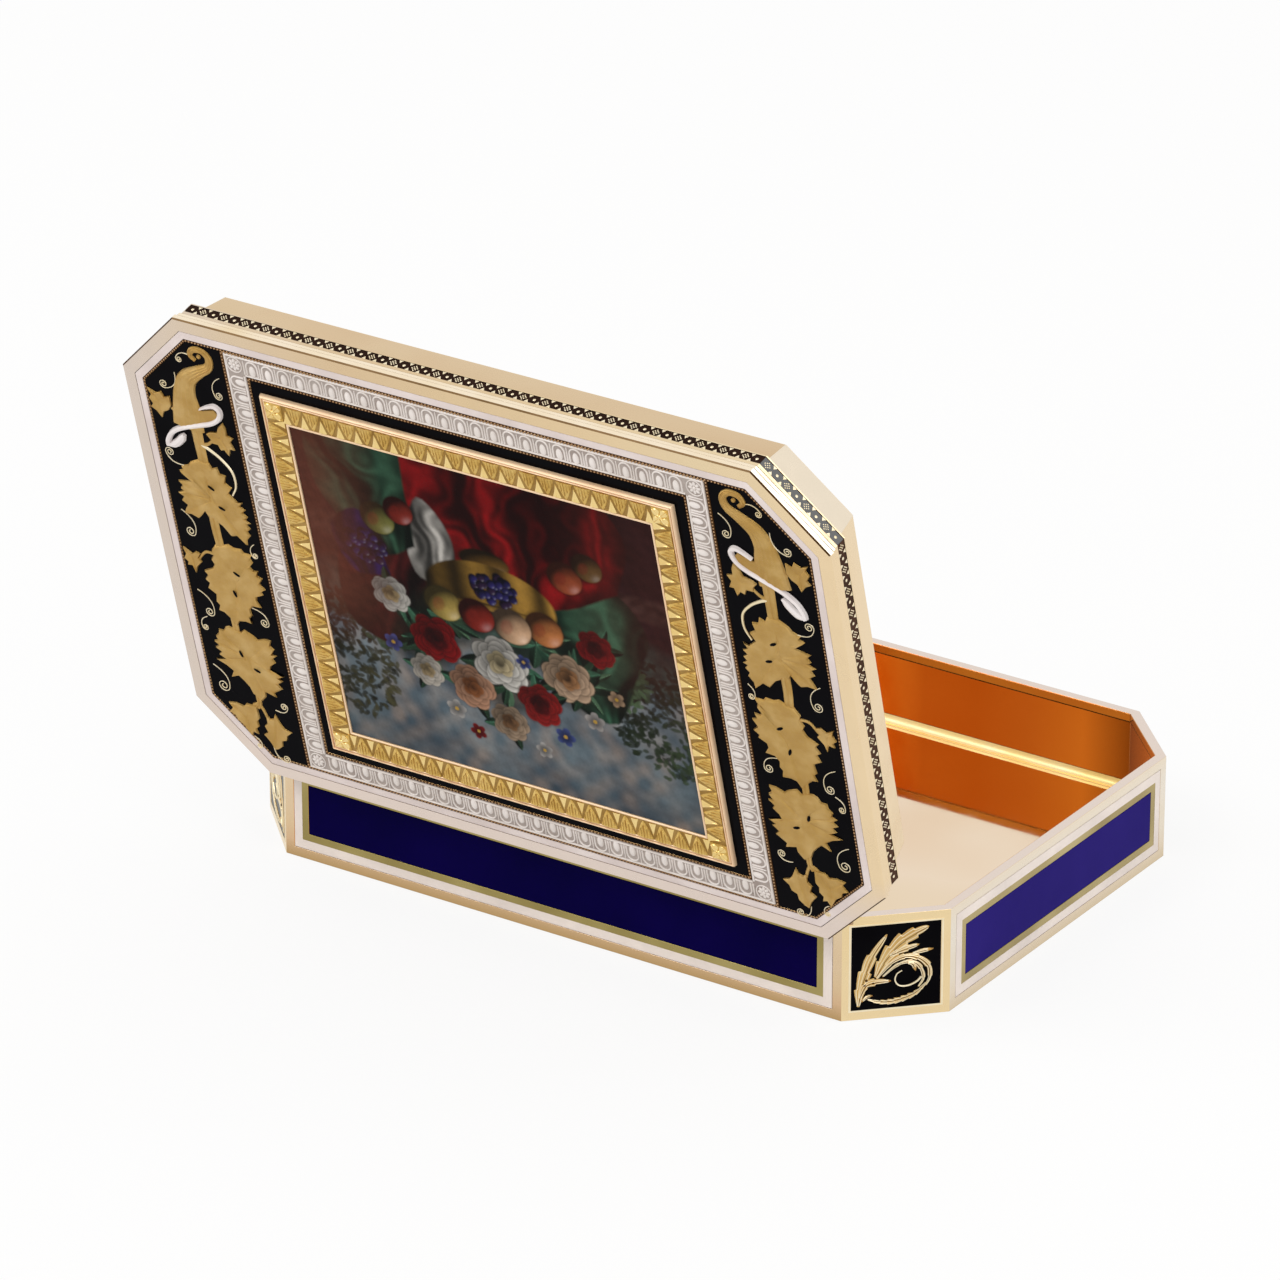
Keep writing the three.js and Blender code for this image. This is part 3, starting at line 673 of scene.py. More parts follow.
def dress_lid():
    rim_golds = [RIM_GOLD, FAINT_GROOVE, REED_GOLD, GROOVE_GOLD, GLINT_GOLD]
    round_node("lid_rim", rim_golds, FINE_ROUND, rim_gold)
    round_node("lid_bezel", [*BEZEL_GOLDS.values(), LID_INNER_GOLD], BEZEL_ROUND, bezel_gold)
    round_node("lid_plate", [GROOVE_GOLD, LID_INNER_GOLD], FINE_ROUND, plate_gold)
    round_node("check_band", [*BAND_ENAMELS.values()], FINE_ROUND, band_enamel)
    round_node("lid_white_line", [LINE_WHITE])
    round_node("white_frame", [SHADED_WHITE])
    for node in ("black_line", "vine_panel_left", "vine_panel_right"):
        round_node(node, [BLACK_ENAMEL])


def dress_hinge():
    for node in frame["nodes"]:
        if "knuckle" in node or node == "hinge_pin":
            round_node(node, [GOLD], KNUCKLE_ROUND)


# A lighter strip at the top of the inside wall, a painted highlight, with a fine dark line of painted shade under
# it
LIP_DEPTH = 0.05
WALL_STRIPS = (  # name, gold, distance from the wall's top, height, depth, bevel
    ("wall_lip", LIP_GOLD, 0.05, 0.9, LIP_DEPTH, 0.01),
    ("wall_line", GROOVE_GOLD, 0.95, 0.14, LIP_DEPTH / 2, 0.005),
)


def wall_strip(name, gold, drop, height, depth, bevel):
    wall_top = node_box("base_wall", BASE)[1][2]
    wall_inset = HALF_LENGTH - node_box("inner_floor", BASE)[1][0]
    shape = Shape()
    for length, place in sides(inset(lid_octagon(), wall_inset - LIP_DEPTH), wall_top):
        if place.translation.y > HALF_WIDTH - CORNER_CUT / 4:
            continue  # the hinge takes this side's top
        form = pad(rectangle(length / 2 - LIP_DEPTH, height / 2), depth, bevel)
        shape.add(form, place @ Matrix.Rotation(-math.pi / 2, 4, "X") @ at(0, drop + height / 2))
    base_piece(name, shape, gold)


# Wall panels: a white edge round each blue field, a bright one round each corner panel.
# An edge's section lists how far in and how high.
WHITE_EDGE = ((-0.1, 0), (-0.1, 0.01), (0, 0.02), (0.2, 0.02), (0.2, 0))
PANEL_EDGE = ((-0.14, 0), (-0.14, 0.03), (0, 0.05), (0.06, 0.03), (0.06, 0))


def panel_place(node):
    """The middle of a wall panel's face: x along the wall, y up, z out of the wall."""
    points = node_points(node, BASE)
    middle = Vector((points.max(axis=0) + points.min(axis=0)) / 2)
    outward = Vector((*np.sign(np.round(middle[:2])), 0)).normalized()
    reach = max(Vector(point).dot(outward) for point in points) - middle.dot(outward)
    up = Vector((0, 0, 1))
    turn = Matrix((up.cross(outward), up, outward)).transposed().to_4x4()
    return Matrix.Translation(middle + outward * reach) @ turn


def add_edge(name, node, half_x, half_y, section, material):
    shape = Shape()
    shape.add(moulding(rectangle(half_x, half_y), section), panel_place(node))
    base_piece(name, shape, material)


def white_edge(side):
    """Carries a wall's white line a little way in over the fillet."""
    node = f"white_line_{side}"
    low, high = node_box(node, BASE)
    levels = np.unique(np.round(node_points(node, BASE)[:, 2], 2))
    width = levels[1] - levels[0]
    half_x = max((high - low)[:2]) / 2 - width
    half_y = (high[2] - low[2]) / 2 - width
    add_edge(f"white_edge_{side}", node, half_x, half_y, WHITE_EDGE, WHITE_ENAMEL)


def panel_edge(corner):
    node = f"corner_panel_{corner}"
    low, high = node_box(node, BASE)
    half_x = math.hypot(*(high - low)[:2]) / 2
    add_edge(f"panel_edge_{corner}", node, half_x, (high[2] - low[2]) / 2, PANEL_EDGE, LINE_GOLD)


# Acanthus scrolls. Their paths run across the panel and up from the table.
SCROLL_MIDDLE = (0, 6.9)  # the panel's middle on the paths
SCROLL_SCALE = 0.93
SCROLL_RISE = 0.06
SCROLL_LAYER = 0.008  # each leaf stands this much higher than the one before
SCROLL_LEAVES = (  # path from root to tip, half width, lobes
    (((-4.4, 2.0), (-4.2, 4.2), (-3.6, 6.4), (-2.8, 8.4), (-1.1, 11.0)), 0.8, 4),
    (((-2.4, 5.6), (-1.3, 7.8), (0.3, 9.7), (2.0, 10.8), (3.8, 11.6)), 1.05, 5),
    (((-0.9, 8.2), (0.8, 8.9), (2.7, 9.4)), 0.5, 3),
    (((1.6, 8.2), (3.0, 8.5), (4.4, 8.7)), 0.3, 1),
    (((-2.3, 5.4), (-0.7, 7.2), (1.0, 8.0), (2.6, 7.7), (3.8, 6.6), (4.0, 5.2), (3.5, 4.0)), 0.42, 6),
    (((-1.6, 5.6), (0.0, 6.9), (1.4, 7.3), (2.5, 6.9), (3.1, 5.9), (3.2, 4.9), (2.6, 3.9)), 0.3, 5),
    (((1.2, 7.2), (2.0, 6.9), (2.3, 6.0)), 0.32, 1),
    (((3.6, 4.4), (2.4, 3.2), (1.0, 2.6), (-0.5, 2.3), (-2.0, 2.4), (-3.4, 2.9)), 0.4, 9),
    (((-4.3, 3.0), (-3.6, 4.6), (-2.4, 5.0), (-0.6, 5.0)), 0.55, 3),
    (((-4.0, 2.6), (-3.4, 3.2), (-2.7, 3.3)), 0.22, 1),
)
SCROLL_CURL = ((3.0, 5.2), (2.4, 4.6), (1.4, 4.2), (0.4, 4.3), (-0.1, 5.0), (0.1, 5.8), (0.7, 6.2))
SCROLL_EYES = ((-3.5, 5.3), (-3.7, 4.7), (-2.7, 4.9))
LEAF_ROOT = 0.06  # a leaf's swell is part of a sine: where it starts, how much of it, and its power
LEAF_SPAN = 0.93
LEAF_SWELL = 0.7
LOBE_CUT = 0.38  # how far the lobes are cut in, as a share of the width
# Pale lines along each leaf are painted highlights; the dark line is painted shade along its vein
LIGHT_RIBS = (-0.66, 0.12, 0.66)  # across a leaf, as shares of its half width
LIGHT_HALF = 0.065
LIGHT_RISE = 1.12  # as a share of the leaf's rise
DARK_RIB = -0.25
DARK_HALF = 0.055
DARK_RISE = 0.95
SCROLL_CURL_HALVES = (0.13, 0.08)
SCROLL_CURL_RISE = 0.1
SCROLL_EYE = (0.16, 0.16, 0.06)
SCROLL_EYE_LIFT = 1.4  # as a share of the scroll's rise


def lobed(half, lobes):
    """Half width of a leaf along its run: full in the middle, cut into lobes, drawn to a tip."""
    def width(share):
        swell = math.sin(math.pi * (LEAF_ROOT + LEAF_SPAN * share)) ** LEAF_SWELL
        step = (share * lobes) % 1
        return half * swell * (1 - LOBE_CUT + LOBE_CUT * step)
    return width


def panel_points(path):
    """A scroll's points, counted from the middle of its panel."""
    return (np.array(path) - SCROLL_MIDDLE) * SCROLL_SCALE


def rib(line, width, offset, half, rise):
    """A fine line that follows a leaf at a share of its half width, a little short of both ends."""
    halves = np.array(along(width, len(line)))[:, None]
    beside = line + left_of(np.gradient(line, axis=0)) * halves * offset
    return ridge(beside[1:-2], half, rise)


def corner_scroll(corner, mirrored):
    place = panel_place(f"corner_panel_{corner}")
    if mirrored:
        place = place @ Matrix.Scale(-1, 4, (1, 0, 0))
    scroll, lights, darks = Shape(), Shape(), Shape()
    for i, (path, half, lobes) in enumerate(SCROLL_LEAVES):
        line = smooth(panel_points(path), 4 * lobes)
        width, rise = lobed(half, lobes), SCROLL_RISE + SCROLL_LAYER * i
        scroll.add(ridge(line, width, rise, RIBBED), place)
        for offset in LIGHT_RIBS:
            lights.add(rib(line, width, offset, LIGHT_HALF, LIGHT_RISE * rise), place)
        darks.add(rib(line, width, DARK_RIB, DARK_HALF, DARK_RISE * rise), place)
    curl_line = smooth(panel_points(SCROLL_CURL))
    lights.add(ridge(curl_line, taper(*SCROLL_CURL_HALVES), SCROLL_CURL_RISE), place)
    for x, y in panel_points(SCROLL_EYES):
        darks.add(dome(*SCROLL_EYE, FEW_SIDES), place @ at(x, y, SCROLL_EYE_LIFT * SCROLL_RISE))
    piece = base_piece(f"acanthus_{corner}", scroll, SCROLL_GOLD)
    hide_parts(f"corner_scroll_{corner}")
    # pale lines of painted highlight, and dark lines of painted shade with the scroll's dark eyes
    base_piece(f"scroll_lights_{corner}", lights, LINE_GOLD)
    base_piece(f"scroll_darks_{corner}", darks, GROOVE_GOLD)


# Check band: lozenges on black, with one gold dot and with many in turn, and gold points between them
CHECK_PITCH = 1.385
CHECK_RISE = 0.04
CHECK_BEVEL = 0.01
POINT_REACH = 0.18  # half a gold point's width at the band's edge, as a share of the pitch
POINT_TIP = 0.3  # from the band's middle to a point's tip, as a share of its half height
DOT_RADIUS = 0.18
PRICK_RADIUS = 0.08
PRICKS = (
    (0, 0), (0.34, 0), (-0.34, 0), (0, 0.36), (0, -0.36),
    (0.17, 0.18), (0.17, -0.18), (-0.17, 0.18), (-0.17, -0.18),
)


def check_band():
    low, high = node_box("check_band", LID)
    half = (high[2] - low[2]) / 2
    gold = Shape()
    outline = inset(lid_octagon(), HALF_LENGTH - high[0])
    for length, place in sides(outline, (low[2] + high[2]) / 2):
        upright = place @ Matrix.Rotation(math.pi / 2, 4, "X")
        middles, step = spaced(length, CHECK_PITCH)
        for i, x in enumerate(middles):
            dots, radius = (PRICKS, PRICK_RADIUS) if i % 2 else (PRICKS[:1], DOT_RADIUS)
            for across, up in dots:
                gold.add(dome(radius, radius, CHECK_RISE, FEW_SIDES), upright @ at(x + across, up))
        wide = POINT_REACH * step
        point = pad([(-wide, -half), (wide, -half), (0, -POINT_TIP * half)], CHECK_RISE, CHECK_BEVEL)
        for x in middles[1:]:
            for turn in (0, 180):
                gold.add(point, upright @ at(x - step / 2, turn=turn))
    lid_piece("check_band_gold", gold, LINE_GOLD)


# Fine beads on the gold lines of the lid's face
BEAD_PITCH = 0.42
BEAD = (0.11, 0.11, 0.08)  # half sizes and rise


def add_beads(shape, outline):
    bead = dome(*BEAD, FEW_SIDES)
    for length, place in sides(outline, FACE):
        for x in spaced(length, BEAD_PITCH)[0]:
            shape.add(bead, place @ at(x))


def bead_lines():
    """Beads round the white line, at both ends of the white frame and between it and the black line."""
    shape = Shape()
    panel_low, panel_high = node_box("vine_panel_right", LID)
    frame_high = node_box("white_frame", LID)[1]
    white_line = np.abs(node_points("lid_white_line", LID)[:, 1])
    inner_edge = HALF_WIDTH - white_line[white_line > panel_high[1]].min()
    field_edge = HALF_LENGTH - panel_high[0]
    add_beads(shape, inset(lid_octagon(), (inner_edge + field_edge) / 2))
    add_beads(shape, rectangle((panel_low[0] + frame_high[0]) / 2, frame_high[1]))
    inner = frame_high[:2] - band_width("white_frame")
    add_beads(shape, rectangle(*(inner + node_box("black_line", LID)[1][:2]) / 2))
    lid_piece("bead_lines", shape, BEAD_GOLD)


# Egg-and-dart relief on the white frame. The shell's radius and the egg's halves are shares of the step
# from egg to egg, and the ring of a rosette is a share of the frame's width.
EGG_PITCH = 2.06
EGG_HALVES = (0.2, 0.36)
EGG_RISE = 0.2
EGG_FACETS = 12
SHELL_RADIUS = 0.35
SHELL_HALF = 0.1
SHELL_RISE = 0.14
SHELL_FOOT = 0.42  # from the frame's outer edge to the shell's round end
SHELL_HEAD = 0.38  # from the shell's open end to the frame's inner edge
DART_MIDDLE = 1.2  # from the frame's outer edge
DART_TIP = 0.45
DART_HALVES = (0.13, 0.04)
EDGE_HALF = 0.13
EDGE_GAP = 0.05
EDGE_RISE = 0.12
ROSETTE_RING = 0.33
ROSETTE_EDGE = 1.15  # radius of its edge line, as a share of the ring
ROSETTE_EDGE_HALF = 0.07
PETAL_OUT = 0.6  # middle of a petal, as a share of the ring
PETAL = (0.3, 0.19, 0.13)
ROSETTE_EYE = (0.22, 0.22, 0.2)


def egg_and_dart():
    half_x, half_y = node_box("white_frame", LID)[1][:2]
    band = band_width("white_frame")
    shape = Shape()
    for length, place in sides(rectangle(half_x, half_y), FACE):
        add_edge_lines(shape, place, length, band)
        middles, step = spaced(length - 2 * band, EGG_PITCH)
        for x in middles:
            add_egg(shape, place @ at(x), step, band)
        add_rosette(shape, place @ at(length / 2 - band / 2, band / 2), band)
    lid_piece("egg_and_dart", shape, EGG_WHITE)


def add_edge_lines(shape, place, length, band):
    """A raised line along each edge of the frame."""
    y = EDGE_HALF + EDGE_GAP
    for line_y, reach in ((y, length / 2 - 2 * EDGE_GAP), (band - y, length / 2 - band)):
        shape.add(ridge([(-reach, line_y), (reach, line_y)], EDGE_HALF, EDGE_RISE), place)


def add_egg(shape, place, step, band):
    """An egg in its shell, and the dart to its right."""
    radius = SHELL_RADIUS * step
    open_end = band - SHELL_HEAD
    bend = SHELL_FOOT + radius
    bowl = arc(radius, 180, 360, 15, bend)
    shape.add(ridge([(-radius, open_end), *bowl, (radius, open_end)], SHELL_HALF, SHELL_RISE), place)
    half_x, half_y = (share * step for share in EGG_HALVES)
    shape.add(dome(half_x, half_y, EGG_RISE, EGG_FACETS), place @ at(0, (bend + open_end) / 2))
    dart = [(step / 2, y) for y in (open_end, DART_MIDDLE, DART_TIP)]
    shape.add(ridge(dart, taper(*DART_HALVES), SHELL_RISE), place)


def add_rosette(shape, place, band):
    ring = ROSETTE_RING * band
    for turn in range(0, 360, 45):
        shape.add(dome(*PETAL, FEW_SIDES), place @ at(0, 0, 0, turn) @ at(PETAL_OUT * ring))
    shape.add(dome(*ROSETTE_EYE), place)
    shape.add(ridge(arc(ROSETTE_EDGE * ring, 0, 360, 20), ROSETTE_EDGE_HALF, EDGE_RISE), place)


# Picture frame with its lotus leaves. A section lists how far in from the frame's outer edge,
# and how high as a share of the frame's rise.
LEAF_PITCH = 2.3
LEAF_START = 0.56  # from the frame's outer edge to the leaves' base
LEAF_END = 2.84
LEAF_GAP = 0.04  # from a leaf's tip to the end of its ground
LEAF_HIGH = 0.46  # heights of the ground as shares of the frame's rise
LEAF_LOW = 0.43
OUTER_RAIL = ((-0.06, 0), (-0.06, 0.2), (0, 0.42), (0.08, 0.54), (0.18, 0.54), (0.24, 0.42), (0.24, 0))
MIDDLE_RAIL = ((0.34, 0), (0.34, 0.42), (0.4, 0.5), (0.48, 0.5), (0.54, 0.42), (0.54, 0))
INNER_RAIL = ((2.9, 0), (2.9, 0.42), (2.95, 0.48), (3.02, 0.5), (3.1, 0.48), (3.15, 0.42), (3.15, 0))
LEAF_GROUND = (
    (0.22, 0), (0.22, 0.34), (0.5, 0.4), (LEAF_START, LEAF_HIGH),
    (LEAF_END, LEAF_LOW), (2.94, 0.4), (2.94, 0),
)
LOTUS_HALF = 0.46  # at a leaf's base, as a share of the step
LOTUS_POWER = 0.75  # how a leaf draws in to its tip
LOTUS_TIP = 0.01
LOTUS_RISES = (0.2, 0.08)
LOTUS_DART_TIP = 0.03  # half width of a dart at its point
LOTUS_DART_HALF = 0.22  # what its broad end adds, as a share of the step
LOTUS_DART_POWER = 1.2
LOTUS_DART_RISES = (0.05, 0.12)
LEAF_LINES = (-0.32, -0.16, 0, 0.16, 0.32)  # across a leaf, as shares of the step
LEAF_LINE_HALF = 0.03
LEAF_LINE_END = taper(0.75, -0.55)  # share of a leaf's run: for a line at its middle, and a step away
LEAF_LINE_RISE = taper(0.235, -0.065)
BLOCK_MARGIN = 0.5
BLOCK_BEVEL = 0.1
BLOCK_RISE = 0.58  # as a share of the frame's rise
BLOCK_PETAL_RUN = (0.15, 1.15)  # shares of the block's half width
BLOCK_PETAL_HALVES = (0.05, 0.42)  # at its ends, and what its middle adds
BLOCK_PETAL_POWER = 0.8
BLOCK_PETAL_RISE = 0.16
BLOCK_EYE = (0.24, 0.24, 0.22)


def lotus_frame():
    low, high = node_box("picture_frame", LID)
    rise = high[2] - low[2]
    outline = rectangle(high[0], high[1])
    rails, ground, leaves, darts, lines = Shape(), Shape(), Shape(), Shape(), Shape()
    sections = ((rails, OUTER_RAIL), (rails, MIDDLE_RAIL), (rails, INNER_RAIL), (ground, LEAF_GROUND))
    for shape, section in sections:
        shape.add(moulding(outline, [(draw, low[2] + share * rise) for draw, share in section]))
    width = band_width("picture_frame")
    for length, place in sides(outline, low[2]):
        add_lotus_leaves(leaves, darts, lines, place, length - 2 * width, rise)
        add_corner_block(leaves, darts, place @ at(length / 2 - width / 2, width / 2), width, rise)
    piece = lid_piece("frame_rails", rails, RAIL_GOLD)
    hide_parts("picture_frame")
    lid_piece("frame_ground", ground, SHADE_GOLD)
    lid_piece("lotus_leaves", leaves, FRAME_GOLD)
    # the darts and corner flowers are painted lighter, as highlights
    lid_piece("lotus_darts", darts, BRIGHT_GOLD)
    lid_piece("lotus_lines", lines, ORNAMENT_GOLD)


def leaf_half(step):
    """Half a lotus leaf's width along its run, drawn to a point."""
    return lambda share: LOTUS_HALF * step * (1 - share) ** LOTUS_POWER + LOTUS_TIP


def dart_half(step):
    """Half a dart's width along its run, from a point to its broad end."""
    return lambda share: LOTUS_DART_TIP + LOTUS_DART_HALF * step * share ** LOTUS_DART_POWER


def add_lotus_leaves(leaves, darts, lines, place, length, rise):
    """Pointed leaves with fine lines at their base, and a dart between each two."""
    run = LEAF_END - LEAF_START - LEAF_GAP
    slope = Matrix.Rotation(math.atan2((LEAF_LOW - LEAF_HIGH) * rise, run), 4, "X")
    middles, step = spaced(length, LEAF_PITCH)
    path = np.array([(0, run * share) for share in np.linspace(0, 1, 9)])
    leaf = ridge(path, leaf_half(step), taper(*LOTUS_RISES), FLUTED)
    dart = ridge(path[2:], dart_half(step), taper(*LOTUS_DART_RISES), RIBBED)
    for x in middles:
        base = place @ at(x, LEAF_START, LEAF_HIGH * rise) @ slope
        leaves.add(leaf, base)
        for across in LEAF_LINES:
            out = abs(across)
            ends = [(across * step, LEAF_LINE_HALF), (across * step, run * LEAF_LINE_END(out))]
            lines.add(ridge(ends, LEAF_LINE_HALF, LEAF_LINE_RISE(out)), base)
    for x in [*middles, middles[-1] + step]:
        darts.add(dart, place @ at(x - step / 2, LEAF_START, LEAF_HIGH * rise) @ slope)


def block_petal_half(share):
    end, middle = BLOCK_PETAL_HALVES
    return end + middle * math.sin(math.pi * share) ** BLOCK_PETAL_POWER


def add_corner_block(block, flower, place, width, rise):
    """A square block with a four-petalled flower."""
    half = width / 2 - BLOCK_MARGIN
    block.add(pad(rectangle(half, half), BLOCK_RISE * rise, BLOCK_BEVEL), place)
    top = place @ Matrix.Translation((0, 0, BLOCK_RISE * rise))
    line = [(0, half * share) for share in np.linspace(*BLOCK_PETAL_RUN, 7)]
    petal = ridge(line, block_petal_half, BLOCK_PETAL_RISE, RIBBED)
    for turn in (45, 135, 225, 315):
        flower.add(petal, top @ at(0, 0, 0, turn))
    flower.add(dome(*BLOCK_EYE), top)


# Vine panels. Across is counted in mm from the panel's middle towards the picture,
# and back in mm from the lid's hinge edge. Outlines run from the stalk round by the lid's end.
VINE_RISE = 0.22
VINE_LEAVES = (
    ((-0.6, 43.2), (-1.7, 42.6), (-2.1, 42.1), (-3.1, 41.7), (-2.6, 41.4), (-3.5, 41.0), (-2.7, 40.7),
     (-1.9, 40.3), (-2.2, 39.9), (-4.0, 39.5), (-3.5, 39.0), (-3.9, 38.5), (-3.5, 38.2), (-4.4, 37.8),
     (-3.7, 37.4), (-4.1, 36.8), (-3.4, 36.3), (-3.8, 35.7), (-4.1, 35.0), (-3.1, 35.1), (-2.2, 34.8),
     (-1.7, 35.3), (-1.1, 36.1), (-0.7, 35.4), (0.1, 35.4), (0.4, 35.0), (1.1, 34.6), (2.0, 33.5),
     (2.8, 33.8), (3.9, 32.8), (4.0, 33.6), (4.6, 34.3), (4.3, 34.8), (4.8, 35.3), (4.4, 35.8), (5.0, 36.0),
     (4.4, 36.4), (4.8, 36.9), (4.2, 37.3), (4.7, 37.8), (4.0, 38.1), (4.5, 38.8), (3.8, 38.6), (2.8, 39.5),
     (3.4, 40.4), (2.6, 40.9), (2.9, 41.9), (2.1, 42.0), (1.9, 42.8), (1.2, 42.5), (0.9, 43.1),
     (0.4, 43.2)),
    ((-0.7, 31.7), (-1.4, 30.8), (-1.2, 30.2), (-1.7, 29.5), (-1.4, 28.9), (-1.8, 28.2), (-3.1, 27.5),
     (-2.7, 27.0), (-3.2, 26.3), (-2.7, 25.9), (-3.1, 25.1), (-2.6, 24.8), (-2.1, 24.5), (-2.3, 23.4),
     (-1.9, 23.0), (-2.2, 22.2), (-1.5, 22.1), (-0.8, 21.5), (-0.1, 20.6), (0.4, 21.4), (1.2, 21.6),
     (2.2, 21.5), (1.9, 22.2), (2.4, 22.8), (2.3, 23.6), (2.8, 24.2), (4.0, 24.3), (3.5, 25.1), (3.6, 25.7),
     (4.6, 26.2), (4.4, 26.6), (5.1, 27.1), (4.4, 27.7), (5.0, 28.6), (4.3, 28.8), (4.6, 29.5), (3.9, 29.4),
     (3.4, 30.0), (4.1, 30.5), (3.8, 31.1), (4.2, 31.6), (3.1, 31.6), (2.8, 32.0), (1.8, 31.9), (1.1, 32.2),
     (0.2, 31.8)),
    ((-0.5, 20.2), (-1.3, 20.3), (-1.8, 20.1), (-2.2, 19.5), (-2.9, 19.5), (-3.0, 18.9), (-3.5, 18.4),
     (-3.3, 17.9), (-3.9, 17.6), (-3.3, 17.2), (-3.9, 16.7), (-3.1, 16.3), (-3.6, 15.8), (-2.8, 15.4),
     (-4.2, 15.0), (-2.9, 14.5), (-2.0, 13.9), (-2.5, 12.9), (-1.4, 13.4), (-0.7, 12.8), (-0.1, 12.1),
     (0.2, 11.3), (1.2, 10.6), (1.9, 11.4), (2.0, 12.1), (3.4, 11.7), (3.2, 12.3), (4.5, 13.2), (4.0, 13.7),
     (4.8, 14.4), (4.3, 14.6), (5.1, 15.1), (4.2, 15.0), (3.3, 15.5), (3.6, 16.2), (4.3, 16.8), (4.0, 17.3),
     (4.7, 17.9), (4.0, 17.9), (4.5, 18.7), (4.0, 19.1), (4.3, 19.9), (3.4, 19.9), (2.4, 19.5), (1.9, 19.9),
     (1.2, 20.2), (0.7, 20.4), (0.2, 19.9)),
    ((0.2, 9.6), (-1.2, 9.6), (-1.6, 9.1), (-2.6, 9.3), (-3.7, 9.1), (-3.2, 8.5), (-3.8, 7.8), (-3.1, 7.5),
     (-2.9, 6.9), (-2.1, 6.3), (-1.3, 5.0), (-0.9, 5.7), (-0.3, 5.5), (-0.5, 6.2), (0.0, 6.7), (-0.1, 7.4),
     (0.3, 7.9)),
    ((1.3, 8.8), (1.3, 7.6), (0.8, 7.1), (1.1, 6.3), (0.4, 5.8), (0.9, 5.2), (1.2, 4.8), (1.6, 3.9),
     (2.1, 4.1), (2.8, 4.7), (2.9, 5.5), (3.6, 5.8), (3.8, 6.5), (4.5, 7.1), (3.6, 7.4), (3.2, 7.9),
     (2.6, 9.2), (2.3, 8.5), (1.8, 8.3)),
    ((-3.1, 29.7), (-3.7, 29.9), (-4.3, 29.5), (-5.4, 30.1), (-5.1, 29.3), (-5.5, 28.6), (-5.0, 28.2),
     (-5.2, 27.7), (-4.5, 27.8), (-4.2, 26.8), (-3.9, 27.7), (-3.1, 28.6), (-3.5, 29.1)),
    ((-2.6, 49.8), (-2.6, 51.1), (-3.4, 50.8), (-3.7, 51.5), (-4.5, 51.1), (-5.5, 51.5), (-5.1, 50.8),
     (-5.5, 50.2), (-5.1, 49.5), (-5.5, 49.0), (-4.8, 48.6), (-4.2, 47.8), (-3.8, 48.7), (-3.1, 49.1)),
    ((1.4, 47.2), (1.9, 46.6), (1.9, 46.1), (2.8, 46.1), (3.1, 45.4), (3.6, 45.6), (4.1, 44.9),
     (4.4, 45.9), (5.0, 45.9), (4.6, 46.8), (5.1, 47.5), (4.3, 47.7), (4.3, 48.6), (4.0, 49.3), (3.3, 48.6),
     (3.0, 47.8), (2.0, 47.6)),
)
LEAF_EYES = (  # across, back, turn in degrees
    (0.55, 39.7, 60), (1.45, 37.2, 70), (1.5, 28.3, 60),
    (0.7, 25.4, 20), (-0.3, 16.8, 20), (1.5, 15.0, 70),
)
LEAF_LEVELS = (  # share of the way out from a leaf's middle, share of its rise
    (1, 0), (0.965, 0.75), (0.9, 1), (0.75, 0.95), (0.55, 0.88), (0.35, 0.82), (0.15, 0.78), (0.03, 0.76),
)
VEIN_HALF = 0.12
VEIN_DEPTH = 0.4
VEIN_END = 0.9  # veins stop at this share of the way out
VINE_STEM = (
    (0.1, 47.4), (0.1, 45.0), (0.1, 42.0), (-0.2, 34.6), (-0.1, 31.4), (-0.3, 28.0), (-0.4, 21.0),
    (-0.2, 18.0), (0.7, 11.0), (0.3, 9.4),
)
STEM_HALVES = (0.76, 0.32)
STEM_RISE = 0.17
VINE_STALKS = (  # path, half width at its start and end
    ((-0.2, 30.0), (-2.2, 30.2), (-3.4, 29.0), 0.22, 0.16),
    ((0.4, 45.4), (1.3, 45.7), (2.1, 46.4), 0.24, 0.18),
    ((-1.6, 48.4), (-2.1, 49.0), (-2.7, 49.5), 0.24, 0.18),
    ((0.6, 10.0), (-0.2, 9.6), (-0.8, 8.2), 0.26, 0.18),
    ((0.6, 10.0), (1.0, 9.4), (1.5, 8.0), 0.26, 0.18),
)
STALK_RISE = 0.13
VINE_BRANCH = ((0.4, 45.4), (1.5, 44.9), (2.8, 44.0), (3.9, 42.6), (4.0, 40.8), (3.3, 39.4))
BRANCH_HALVES = (0.22, 0.12)
BRANCH_RISE = 0.14
LEAF_EYE = (0.2, 0.5, 0.06)
LEAF_EYE_LIFT = 0.85  # as a share of the leaf's rise
HORN = (  # across, back, half width, from its mouth to its curled tip
    (-0.85, 47.4, 2.05), (-0.55, 50.0, 1.9), (-0.35, 52.3, 1.45), (0.45, 54.2, 1.15), (2.15, 55.5, 0.8),
    (3.65, 56.5, 0.58), (3.95, 57.7, 0.48), (3.2, 58.5, 0.42), (2.0, 58.4, 0.4), (1.5, 57.6, 0.34),
    (2.1, 57.0, 0.26),
)
HORN_RISES = (0.34, 0.2)
HORN_EYE_PLACE = (2.65, 57.65)
HORN_EYE = (0.3, 0.3, 0.24)
HORN_LIP = (
    (-0.3, 48.3), (0.4, 48.3), (2.0, 48.9), (3.2, 49.5),
    (3.6, 50.3), (3.2, 50.8), (1.3, 50.2), (0.2, 50.6),
)
HORN_LIP_RISE = 0.18
HORN_LIP_BEVEL = 0.05
RIBBON = (
    (1.4, 50.5), (2.4, 51.0), (3.4, 51.3), (4.0, 50.8), (3.7, 49.8), (2.6, 48.9),
    (0.6, 48.1), (-1.0, 47.5), (-2.4, 46.8), (-3.4, 46.0), (-4.0, 45.0), (-4.1, 44.3),
)
